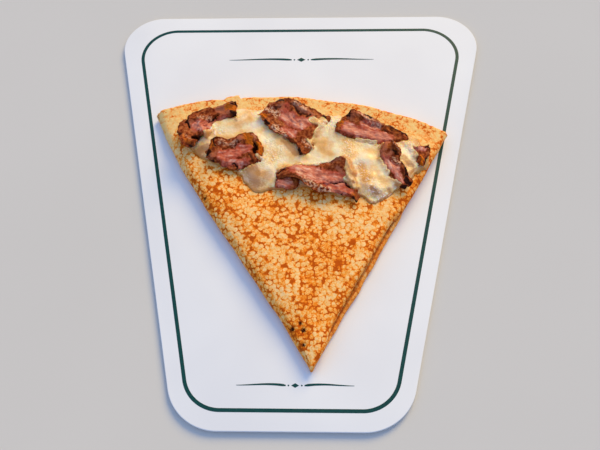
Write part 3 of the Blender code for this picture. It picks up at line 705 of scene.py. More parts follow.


# The beef: thin folded slices. left and right are a slice's reach to each side at even steps
# along it; lift, leftLift and rightLift are how far its middle and its edges stand up there.
# The other lists are soft capsules on the slice: the two ends of each, its radius, its amount.
# rare is pink, grey is grey brown, crisp is orange; the dark list is seared crust and also painted
# shade in creases, in hollows and under curled edges; pale is tan and granular, its light granules
# partly painted glints; relief is raised or sunk by its amount.

slices = dict(
    beefUpperLeft=dict(
        node="beef_upper_left", start=(-63.0, 24.2), end=(-36.6, 51.6), bow=9.5,
        left=(4.0, 8.0, 8.5, 5.5, 3.5, 5.0), right=(3.0, 7.5, 8.5, 5.5, 4.5, 4.0),
        lift=(2.5, 1.5, 0.6, 0.8, 1.2, 3.0), leftLift=(4.5, 4.0, 2.6, 3.4, 3.8, 5.0),
        rightLift=(4.5, 3.4, 1.0, 0.3, 0.4, 2.0),
        rare=[(-59.7, 40.1, -55.2, 36.4, 2.7, 1), (-53.2, 41.5, -42.5, 44.4, 2.4, 0.9)],
        grey=[(-64.8, 42.3, -61.3, 36.4, 2.2, 0.8), (-47.2, 51.2, -41.4, 55.7, 2.4, 0.9),
            (-46.3, 47.4, -41.0, 49.6, 1.6, 0.7)],
        crisp=[(-41.8, 53.4, -38.7, 51.9, 1.9, 1), (-66.8, 30.6, -62.9, 27.7, 1.6, 0.5),
            (-70.6, 32.8, -70.6, 32.8, 1.4, 0.5)],
        sear=[(-39.7, 48.9, -36.0, 48.1, 1.4, 0.8), (-67.0, 46.8, -65.2, 40.1, 0.9, 1),
            (-70.7, 34.3, -69.3, 32.1, 1.1, 0.7), (-60.2, 31.3, -56.5, 29.9, 1.6, 1),
            (-42.7, 58.0, -37.0, 54.1, 0.7, 0.8), (-62.2, 25.6, -60.3, 24.1, 0.8, 0.9),
            (-52.7, 43.4, -48.8, 47.4, 0.5, 1)],
        pale=[(-58.6, 45.2, -52.0, 46.0, 1.6, 0.5), (-65.0, 31.5, -62.5, 29.5, 1.4, 0.5)],
        relief=[(-58.8, 43.8, -55.1, 34.2, 2.2, 2.2), (-59.6, 30.9, -58.4, 30.6, 1.3, -3.5),
            (-53.0, 43.4, -48.8, 47.4, 0.6, -1.4), (-55.3, 46.0, -48.9, 49.7, 1.4, 0.8),
            (-42.0, 56.4, -42.0, 56.4, 2.2, 2.0), (-69.5, 40.9, -69.5, 40.9, 2.2, 1.5),
            (-66.6, 46.0, -64.8, 39.4, 0.7, -1.6), (-63.7, 29.2, -62.4, 28.4, 2.2, 1.2)]),
    beefLowerLeft=dict(
        node="beef_lower_left", start=(-52.4, 18.7), end=(-19.7, 19.2), bow=2.0,
        left=(2.0, 9.0, 8.4, 12.0, 11.0, 4.0), right=(1.5, 6.0, 10.0, 11.0, 9.5, 4.0),
        lift=(2.0, 1.6, 0.8, 1.4, 3.4, 2.0), leftLift=(2.5, 5.0, 3.0, 4.0, 5.6, 3.0),
        rightLift=(1.5, 0.6, 0.4, 0.4, 0.5, 1.0),
        rare=[(-43.2, 17.7, -29.3, 22.6, 3.0, 0.62), (-41.2, 14.2, -30.6, 13.5, 2.6, 0.57),
            (-35.3, 24.1, -29.4, 24.7, 1.6, 0.34)],
        grey=[(-34.4, 28.3, -30.9, 31.2, 1.4, 0.8), (-25.0, 31.2, -23.0, 27.6, 0.8, 0.8),
            (-49.1, 17.0, -46.3, 19.8, 1.6, 0.6)],
        crisp=[(-29.7, 31.2, -26.6, 26.9, 2.2, 1), (-21.1, 24.7, -19.2, 20.5, 1.5, 0.8),
            (-50.1, 22.7, -49.0, 24.8, 0.9, 0.6)],
        sear=[(-24.7, 25.4, -23.3, 20.5, 1.2, 1), (-30.5, 34.1, -26.3, 34.8, 0.6, 0.9),
            (-47.6, 30.5, -47.8, 24.8, 0.8, 1), (-53.9, 18.4, -49.9, 20.5, 0.9, 1),
            (-51.9, 15.6, -48.3, 14.2, 0.6, 0.8), (-36.4, 12.1, -34.6, 10.7, 1.0, 1),
            (-26.8, 18.4, -25.9, 13.5, 1.0, 0.6)],
        pale=[(-44.0, 26.6, -36.5, 26.6, 1.6, 0.5)],
        relief=[(-47.0, 29.8, -51.7, 20.5, 1.1, 1.5), (-43.0, 22.3, -33.1, 26.5, 0.6, -1.1),
            (-24.1, 25.4, -23.3, 20.5, 1.0, -3.2), (-19.9, 22.6, -19.9, 22.6, 1.4, 1),
            (-35.5, 11.4, -35.5, 11.4, 1.1, -1.5)]),
    beefUpperMiddle=dict(
        node="beef_upper_middle", start=(-20.7, 49.9), end=(6.4, 20.2), bow=2.5,
        left=(8.0, 14.5, 17.5, 19.2, 20.5, 22.5, 25.0, 25.5, 13.0, 7.5, 3.5),
        right=(3.0, 5.9, 6.4, 3.4, 2.4, 3.6), lift=(2.2, 1.2, 0.8, 1.0, 1.4, 1.2),
        leftLift=(3.0, 4.6, 3.0, 1.0, 0.8, 1.0), rightLift=(3.4, 3.2, 2.6, 1.6, 1.6, 2.2),
        rare=[(-5.7, 46.5, 2.2, 40.5, 3.4, 1), (-8.2, 49.5, -5.9, 54.0, 2.2, 0.4),
            (2.2, 43.5, 9.4, 42.7, 2.4, 0.9), (-6.7, 36.9, -2.4, 34.0, 2.4, 0.7)],
        grey=[(-9.5, 53.2, -6.9, 47.2, 2.2, 0.8), (-1.7, 53.9, 9.3, 47.9, 1.4, 0.9)],
        crisp=[(-25.2, 49.6, -20.9, 49.5, 1.1, 1), (-22.0, 45.8, -19.6, 46.6, 1.4, 0.8),
            (-14.6, 40.6, -14.6, 40.6, 1.0, 0.5), (4.3, 25.4, 7.8, 23.9, 1.6, 0.4)],
        sear=[(-18.9, 42.8, -17.0, 41.4, 1.0, 1), (-12.1, 57.0, -8.4, 57.0, 0.9, 0.9),
            (-13.1, 51.8, -10.1, 53.2, 0.6, 0.7), (-6.6, 58.5, -3.6, 57.7, 0.6, 0.8),
            (-2.9, 54.0, 0.9, 49.4, 0.5, 0.7), (0.9, 49.4, 8.1, 46.8, 0.5, 0.7),
            (1.0, 22.1, 3.1, 18.9, 1.2, 1), (15.4, 47.9, 17.8, 46.4, 0.8, 0.9)],
        pale=[(-17.4, 51.8, -11.2, 47.3, 2.2, 0.7), (-12.7, 38.4, -7.8, 34.0, 1.9, 0.9),
            (-1.7, 55.5, 5.7, 50.9, 1.4, 0.7), (4.8, 28.2, 7.2, 24.6, 1.6, 0.6)],
        relief=[(-2.9, 56.2, 6.9, 49.4, 1.4, 1.2), (-2.9, 54.0, 0.9, 49.4, 0.6, -0.7),
            (0.9, 49.4, 8.1, 46.8, 0.6, -0.7), (-3.8, 43.5, 0.4, 41.3, 0.5, -1.0),
            (-0.9, 45.7, 2.3, 39.1, 0.5, -1.0), (-19.7, 49.5, -10.2, 56.3, 1.6, 0.8)]),
    beefUpperRight=dict(
        node="beef_upper_right", start=(24.0, 38.2), end=(66.5, 32.8), bow=1.0,
        left=(3.0, 11.5, 10.0, 6.5, 4.0, 1.5), right=(3.0, 6.0, 7.0, 8.5, 6.5, 1.5),
        lift=(2.4, 1.6, 0.8, 0.6, 0.4, 0.3), leftLift=(3.6, 5.2, 2.8, 1.8, 0.8, 0.4),
        rightLift=(2.6, 0.8, 0.4, 0.6, 0.4, 0.3),
        rare=[(30.5, 37.6, 53.0, 31.0, 3.5, 1), (41.1, 41.1, 47.6, 38.2, 2.2, 0.8)],
        grey=[(38.2, 47.8, 42.9, 44.0, 1.4, 0.9), (44.1, 42.6, 50.0, 39.6, 1.4, 0.8),
            (32.2, 44.1, 35.2, 47.0, 2.2, 0.5)],
        crisp=[(26.2, 41.2, 27.9, 40.4, 1.4, 0.8), (25.6, 39.0, 25.6, 39.0, 1.0, 0.6),
            (54.7, 38.1, 59.3, 35.9, 1.1, 0.4)],
        sear=[(30.4, 49.3, 31.6, 45.6, 1.1, 1), (28.0, 47.1, 26.2, 43.4, 0.8, 0.7),
            (33.4, 50.8, 38.3, 50.0, 0.6, 0.8), (41.2, 47.7, 64.6, 34.5, 0.6, 0.9),
            (44.1, 41.1, 48.8, 38.9, 0.4, 0.5), (53.4, 36.7, 56.3, 33.8, 0.5, 0.6),
            (62.8, 34.5, 65.2, 33.7, 0.8, 0.9), (38.5, 31.7, 40.3, 30.2, 1.0, 0.5)],
        pale=[(39.4, 47.0, 45.3, 43.3, 1.4, 0.7), (45.3, 41.1, 50.0, 38.9, 1.1, 0.6)],
        relief=[(33.4, 48.5, 61.7, 36.6, 1.6, 1), (38.1, 43.3, 56.3, 34.5, 0.8, -0.6),
            (29.2, 44.1, 30.4, 46.3, 1.1, -1.4)]),
    beefLowerMiddle=dict(
        node="beef_lower_middle", start=(-10.6, 4.2), end=(36.2, -10.4), bow=7.5,
        left=(3.6, 4.8, 6.5, 9.5, 13.5, 6.0, 1.5), right=(2.4, 3.6, 7.5, 10.5, 9.0, 4.5, 1.5),
        lift=(2.0, 4.6, 2.0, 1.0, 1.6, 0.8, 0.3), leftLift=(1.0, 3.6, 1.0, 1.8, 7.0, 3.0, 0.4),
        rightLift=(1.5, 5.5, 3.4, 2.2, 2.6, 1.2, 0.4),
        rare=[(1.1, 8.6, 25.9, -0.3, 4.2, 0.82), (20.2, -5.0, 31.6, -6.4, 2.0, 0.66)],
        grey=[(24.8, 8.5, 26.5, 4.4, 1.4, 0.8), (20.2, 13.4, 25.4, 16.1, 2.4, 0.9)],
        crisp=[(-4.2, 8.6, -4.2, 8.6, 0.8, 0.6), (32.7, -7.1, 35.0, -9.0, 1.1, 0.5)],
        sear=[(27.2, 20.3, 28.4, 18.9, 0.8, 1), (21.4, 13.4, 26.0, 16.8, 1.9, 0.55),
            (-9.3, 5.8, -3.6, 9.9, 0.8, 1), (15.1, -8.4, 20.2, -10.4, 0.7, 0.8),
            (21.9, -9.0, 26.5, -7.7, 0.6, 0.9), (33.8, -11.0, 37.1, -13.7, 1.0, 1),
            (21.3, -1.0, 27.1, 0.3, 0.4, 0.7), (27.6, -0.3, 32.2, -3.0, 0.5, 0.9)],
        pale=[(1.1, 6.5, 5.2, 1.7, 1.4, 0.72), (5.2, 1.7, 11.0, -3.0, 1.4, 0.72),
            (15.6, -5.0, 21.3, -7.0, 1.9, 0.8)],
        relief=[(26.6, 18.2, 23.1, 14.0, 2.2, 1.5), (15.6, -5.0, 21.3, -7.0, 1.6, 0.8),
            (14.5, -3.0, 28.8, 0.3, 0.6, -1.2), (28.8, -1.7, 32.8, -3.7, 0.5, -1.0)]),
    beefLowerScrap=dict(
        node="beef_lower_scrap", start=(-10.6, 0.4), end=(2.4, -0.2), bow=0.4, left=(2.6, 4.6, 3.4),
        right=(2.2, 4.2, 2.0), lift=(0.2, 0.4, 0.2), leftLift=(0.0, 0.2, 0.0), rightLift=(0.2, 0.4, 0.2),
        rare=[(-8.0, -1.0, -4.0, 0.4, 2.2, 0.9)],
        grey=[(-6.9, 3.8, -2.9, 3.1, 1.6, 0.5)],
        crisp=[(-2.8, 1.7, -1.7, 0.4, 1.1, 0.5)],
        sear=[(-7.0, 5.8, -2.9, 5.1, 1.1, 1)],
        pale=[(-7.3, -3.0, -5.0, -3.0, 1.1, 0.5)],
        relief=[(-6.2, -2.3, -6.2, -2.3, 1.6, 0.6)]),
    beefRight=dict(
        node="beef_right", start=(54.8, 26.6), end=(64.9, -1.6), bow=-3.4,
        left=(2.4, 5.6, 5.0, 5.0, 4.0, 2.6), right=(3.0, 5.6, 5.0, 4.0, 3.6, 3.4),
        lift=(4.0, 3.2, 1.2, 1.2, 1.2, 1.4), leftLift=(4.6, 5.0, 3.4, 3.6, 2.6, 2.2),
        rightLift=(3.8, 3.0, 0.8, 0.3, 0.3, 0.8),
        rare=[(52.7, 14.0, 58.8, 7.1, 2.2, 1), (58.7, 5.0, 60.8, -0.4, 1.6, 0.8)],
        grey=[(48.8, 18.9, 54.3, 27.3, 1.9, 1), (51.1, 16.8, 55.2, 18.9, 1.6, 0.8)],
        crisp=[(57.3, 27.3, 61.2, 23.1, 1.4, 1), (53.6, 22.4, 56.6, 25.2, 1.6, 0.4)],
        sear=[(57.0, 20.2, 59.8, 18.1, 1.0, 0.7), (62.5, 13.3, 64.4, 3.7, 0.9, 0.9),
            (63.2, 1.6, 67.0, -2.4, 1.2, 1), (61.2, -3.7, 64.1, -3.1, 0.8, 0.9),
            (54.1, 21.0, 56.5, 23.8, 1.4, 0.4)],
        pale=[(56.8, 15.4, 60.2, 11.9, 1.4, 0.6), (55.2, 28.8, 60.2, 20.2, 0.4, 0.8)],
        relief=[(55.3, 29.5, 60.2, 20.2, 0.7, 1.5), (58.1, 19.5, 58.7, 18.8, 1.2, -1.6),
            (61.5, 16.7, 64.4, 4.3, 1.0, 1), (55.0, 14.7, 58.4, 10.5, 0.5, -1.0)]),
    beefFarRight=dict(
        node="beef_far_right", start=(74.5, 25.7), end=(72.7, 12.4), bow=0.6, left=(4.4, 4.0, 2.4, 1.2),
        right=(4.4, 4.0, 3.2, 1.2), lift=(1.6, 1.0, 0.8, 0.6), leftLift=(2.6, 1.8, 1.2, 0.6),
        rightLift=(1.4, 0.8, 0.6, 0.4),
        rare=[(69.9, 23.0, 75.2, 23.0, 1.6, 1)],
        grey=[(70.9, 19.5, 70.9, 19.5, 1.4, 0.5)],
        crisp=[(73.8, 18.1, 73.5, 12.5, 1.2, 0.7)],
        sear=[(76.4, 23.7, 78.7, 23.7, 0.8, 1), (76.0, 16.0, 77.0, 14.6, 0.7, 0.9)],
        pale=[],
        relief=[(73.1, 17.4, 73.5, 12.5, 0.8, 0.6)]))

beef = dict(
    thickness=2.1, edgeThickness=0.8, edgePart=0.33, endPart=0.07, columns=120, rows=76,
    bedding=1.7,  # how far the slices' undersides lie over the crepe where they aren't lifted
    outlineRagged=[(6, 1.0), (2.2, 0.9), (1.2, 0.35)], crinkle=[(7, 0.6), (3.2, 0.4), (1.5, 0.14)],
    edgeFrill=(4.2, 0.9), fibre=(4.2, 1.5), fineFibre=(2, 0.8), fibreRise=0.24, grainSize=1.1,
    grainRise=0.13,
    bend=[(3.4, 1.6), (1.3, 0.8)], crag=0.6, cragSize=1.4, rimPart=0.12, deepest=-1.8, lipReach=0.3)


def stripPoint(shape, left, right, u, v):
    # Points of a bowed strip: u along it, v from its left edge (1) to its right edge (-1).
    start, end = np.array(shape["start"], float), np.array(shape["end"], float)
    run = end - start
    sideways = leftOf(run)
    u = np.asarray(u, float)
    spine = start + run * u[..., None] + sideways * (shape["bow"] * 4 * u * (1 - u))[..., None]
    slope = run - sideways * (shape["bow"] * 4 * (2 * u - 1))[..., None]
    slope = slope / np.hypot(slope[..., 0], slope[..., 1])[..., None]
    reach = np.where(v > 0, left, right) * v
    return spine + np.stack([-slope[..., 1], slope[..., 0]], -1) * reach[..., None]


def capsules(flat, zones, summed=False):
    # The strength at each point of the plan of a list of soft capsules.
    total = np.zeros(len(flat))
    for x0, y0, x1, y1, radius, amount in zones:
        start, run = np.array((x0, y0)), np.array((x1 - x0, y1 - y0))
        share = np.clip((flat - start) @ run / max(run @ run, 1e-9), 0, 1)
        away = flat - start - share[:, None] * run
        strength = amount * np.exp(-(np.hypot(away[:, 0],
                                              away[:, 1]) / (1.2 * radius)) ** (2 if summed else 3))
        total = total + strength if summed else np.maximum(total, strength)
    return total


def surfaceTree(pieces):
    points, faces = [], []
    for piece in pieces:
        start = len(points)
        points += [vertex.co.copy() for vertex in piece.data.vertices]
        faces += [[start + i for i in face.vertices] for face in piece.data.polygons]
    return BVHTree.FromPolygons(points, faces)


def heightsUnder(tree, flat, missing):
    # The surface's height under each point, in millimetres.
    down = Vector((0, 0, -1))
    heights = []
    for x, y in flat:
        hit = tree.ray_cast(Vector((x * mm, y * mm, 0.1)), down)[0]
        heights.append(hit.z / mm if hit else missing)
    return np.array(heights)


def closeSheet(columns, rows, lipPoints, topCount):
    # Faces of a top grid, the grid under it and a ring of lip points between their borders.
    border = gridBorder(columns, rows)
    top = [j * (columns + 1) + i for i, j in border]
    under = [topCount + k for k in top]
    lip = range(2 * topCount, 2 * topCount + lipPoints)
    sheets = gridFaces(columns, rows) + gridFaces(columns, rows, topCount, True)
    return sheets + skinRings([top, lip, under])


def lipRing(columns, rows, top, under, out):
    border = [j * (columns + 1) + i for i, j in gridBorder(columns, rows)]
    middle = (top[border] + under[border]) / 2
    along = np.roll(middle, -1, 0) - np.roll(middle, 1, 0)
    outward = np.column_stack([-along[:, 1], along[:, 0]])
    outward /= np.maximum(np.hypot(outward[:, 0], outward[:, 1]), 1e-9)[:, None]
    centre = middle[:, :2].mean(0)
    if ((middle[:, :2] - centre) * outward).sum() < 0:
        outward = -outward
    middle[:, :2] += outward * out
    return middle


def makeSlice(name, shape, seed, crepeTree, material):
    columns, rows = beef["columns"], beef["rows"]
    u, v = np.meshgrid(np.linspace(0, 1, columns + 1), np.linspace(-1, 1, rows + 1))
    left, right = curveValue(shape["left"], u), curveValue(shape["right"], u)
    flat = stripPoint(shape, left, right, u, v).reshape(-1, 2)
    rimward = (np.maximum(abs(v), np.clip(1 - np.minimum(u, 1 - u) / beef["rimPart"], 0, 1)) ** 3).ravel()
    solid = np.column_stack([flat, np.full(len(flat), seed * 10.0)])
    for size, reach in beef["outlineRagged"]:
        flat = flat + reach * rimward[:, None] * noisePair(solid, size, 31.0)
    edge = np.where(v > 0, curveValue(shape["leftLift"], u), curveValue(shape["rightLift"], u))
    middle = curveValue(shape["lift"], u)
    lift = (middle + (edge - middle) * v * v).ravel()
    for size, height in beef["crinkle"]:
        lift += height * noiseAt(solid, size, 33.0)
    frillSize, frill = beef["edgeFrill"]
    bent = flat.copy()
    for size, reach in beef["bend"]:
        bent += reach * noisePair(solid, size, 41.0)
    zones = {key: capsules(bent, shape[key]) for key in ("rare", "grey", "crisp", "sear", "pale")}
    lift += frill * rimward * noiseAt(solid, frillSize, 34.0) + capsules(bent, shape["relief"], True)
    crag = np.maximum(zones["crisp"], zones["sear"])
    lift += beef["crag"] * crag * noiseAt(solid, beef["cragSize"], 43.0)
    ground = heightsUnder(crepeTree, flat, crepeBase + crepe["rimThickness"])
    low = (ground + np.median(ground)) / 2 + beef["bedding"] + np.maximum(lift, beef["deepest"])
    inward = np.minimum(np.minimum(u, 1 - u) / beef["endPart"], (1 - abs(v)) / beef["edgePart"]).ravel()
    thick = beef["edgeThickness"] + (beef["thickness"] - beef["edgeThickness"]) * smoothStep(inward)
    run = np.array(shape["end"]) - shape["start"]
    grainWay = run / np.hypot(*run)
    across = solid[:, :2] @ np.array((-grainWay[1], grainWay[0]))
    along = solid[:, :2] @ grainWay
    fibres = np.zeros(len(flat))
    for (long, wide), amount, turn in ((beef["fibre"], 1, 35.0), (beef["fineFibre"], 0.5, 36.0)):
        drawn = np.column_stack([along / long, across / wide, solid[:, 2]])
        fibres += amount * noiseAt(drawn, 1, turn)
    uFlat, vFlat = u.ravel(), v.ravel()
    length = np.hypot(*run)
    toEdge = np.minimum(np.minimum(uFlat, 1 - uFlat) * length,
                        (1 - abs(vFlat)) * np.where(v > 0, left, right).ravel())
    rough = np.maximum(np.maximum(zones["pale"], bell(toEdge / 1.6)), 0.45 - zones["rare"])
    granular = noiseAt(solid, beef["grainSize"], 37.0) * rough
    fibreRise = beef["fibreRise"] * (0.35 + 0.65 * zones["rare"])
    top = np.column_stack([flat, low + thick + fibreRise * fibres + beef["grainRise"] * granular])
    under = np.column_stack([flat, low])
    lip = lipRing(columns, rows, top, under, beef["lipReach"])
    border = [j * (columns + 1) + i for i, j in gridBorder(columns, rows)]
    attributes = {"toEdge": np.concatenate([toEdge, toEdge * 0.2, toEdge[border] * 0]),
                  "fibre": np.concatenate([fibres, fibres, fibres[border]])}
    for key, values in zones.items():
        kept = 1.0 if key in ("crisp", "sear") else 0.6
        attributes[key] = np.concatenate([values, values * kept, values[border] * kept])
    faces = closeSheet(columns, rows, len(lip), len(top))
    return addMesh(name, np.concatenate([top, under, lip]), faces, material, attributes)


def beefMaterial():
    # Roast beef, sliced thin and warmed: pink where it stayed rare, grey brown beside it and
    # brown to almost black at the seared rim. Juice and fat leave it moist, with fine lights.
    look = dict(pink="#DC8A6C", rose="#BC5238", deep="#6A1404", grey="#B26240", brown="#84360E",
                soft="#A85020", raw="#681C02", sear="#240800", rim="#541C06", crisp="#CC6408",
                pale="#E8B890", tan="#C07640", fatAndGlint="#F8CDB2", muscle=1.9 * mm, fleck=1.3 * mm,
                roughness=(0.18, 0.4))
    material = newMaterial("roastBeef")
    place = addNode(material, "ShaderNodeTexCoord").outputs["Object"]
    zones = {key: addNode(material, "ShaderNodeAttribute", {"attribute_name": key}).outputs["Fac"]
             for key in ("rare", "grey", "crisp", "sear", "pale", "toEdge", "fibre")}
    muscle = addNode(material, "ShaderNodeTexNoise", {"Scale": 1 / look["muscle"], "Detail": 5.0},
                     {"Vector": place})
    fleck = addNode(material, "ShaderNodeTexNoise", {"Scale": 1 / look["fleck"], "Detail": 4.0},
                    {"Vector": place})

    def doubtful(zone, spread, low, high, most):
        # A zone's strength with its border made ragged by the muscle noise.
        doubt = addNode(material, "ShaderNodeMath", {"operation": "MULTIPLY_ADD", 1: spread},
                        {0: muscle, 2: zones[zone]})
        return addNode(material, "ShaderNodeMapRange",
                       {"From Min": low + spread / 2, "From Max": high + spread / 2, "To Max": most},
                       {"Value": doubt})

    mottle = addNode(material, "ShaderNodeMath", {"operation": "MULTIPLY_ADD", 1: 0.35},
                     {0: fleck, 2: muscle})
    spread = addNode(material, "ShaderNodeMapRange", {"From Min": 0.44, "From Max": 0.92},
                     {"Value": mottle})
    brown = addNode(material, "ShaderNodeValToRGB",
                    {"stops": [(0.1, look["raw"]), (0.4, look["brown"]), (0.68, look["soft"]),
                               (1.0, look["tan"])]}, {"Fac": spread})
    flesh = layColour(material, brown, look["grey"], doubtful("grey", 0.8, 0.25, 0.7, 0.95))
    flesh = layColour(material, flesh, look["rose"], doubtful("rare", 0.9, 0.15, 0.4, 0.95))
    flesh = layColour(material, flesh, look["pink"], doubtful("rare", 1.2, 0.45, 0.95, 0.9))
    # lighter streaks on the fibres are partly fat and partly painted highlight; darker clefts between
    # them are partly the meat's colour and partly painted shade
    streak = addNode(material, "ShaderNodeMapRange", {"From Min": 0.15, "From Max": 0.7, "To Max": 0.5},
                     {"Value": zones["fibre"]})
    cleft = addNode(material, "ShaderNodeMapRange", {"From Min": -0.1, "From Max": -0.6, "To Max": 0.4},
                    {"Value": zones["fibre"]})
    rare = doubtful("rare", 0.8, 0.2, 0.6, 1.0)
    streakAndGlint = addNode(material, "ShaderNodeMath", {"operation": "MULTIPLY"}, {0: streak, 1: rare})
    cleftShade = addNode(material, "ShaderNodeMath", {"operation": "MULTIPLY"}, {0: cleft, 1: rare})
    flesh = layColour(material, flesh, look["fatAndGlint"], streakAndGlint)
    flesh = layColour(material, flesh, look["deep"], cleftShade)
    # light granules in the tan zones: partly the meat's own grain, partly painted glints on the bumps
    granulesAndGlints = addNode(material, "ShaderNodeMapRange", {"From Min": 0.42, "From Max": 0.6},
                       {"Value": fleck})
    tan = addNode(material, "ShaderNodeMath", {"operation": "MULTIPLY"},
                  {0: granulesAndGlints, 1: doubtful("pale", 0.6, 0.2, 0.7, 0.9)})
    flesh = layColour(material, flesh, look["pale"], tan)
    flesh = layColour(material, flesh, look["crisp"], doubtful("crisp", 0.8, 0.3, 0.7, 0.95))
    edge = addNode(material, "ShaderNodeMath", {"operation": "MULTIPLY_ADD", 1: 2.6},
                   {0: muscle, 2: zones["toEdge"]})
    rim = addNode(material, "ShaderNodeMapRange", {"From Min": 1.7, "From Max": 0.9, "To Max": 0.32},
                  {"Value": edge})
    flesh = layColour(material, flesh, look["rim"], rim)
    # seared crust, and painted shade: the same dark colour also darkens creases, hollows and under curled
    # edges
    flesh = layColour(material, flesh, look["sear"], doubtful("sear", 0.9, 0.3, 0.75, 0.95))
    gloss = addNode(material, "ShaderNodeMapRange",
                    {"To Min": look["roughness"][0], "To Max": look["roughness"][1]}, {"Value": muscle})
    bump = addNode(material, "ShaderNodeBump", {"Strength": 0.8, "Distance": 0.4 * mm}, {"Height": fleck})
    return finishMaterial(
        material, {"IOR": 1.4, "Specular IOR Level": 0.1, "Subsurface Weight": 0.12,
                   "Subsurface Radius": (1.0, 0.3, 0.2), "Subsurface Scale": 1.2 * mm},
        {"Base Color": flesh, "Roughness": gloss, "Normal": bump})


# The cheese: a melted sheet along a curved line, with its reach to the rim and to the tip.
# The lists are soft capsules: two ends, a radius and an amount. laps run up over a slice's
# edge, lumps stand up or sink, films lie thin and brown and some of them are painted shade
# beside and under the slices, golden pools are deep yellow.

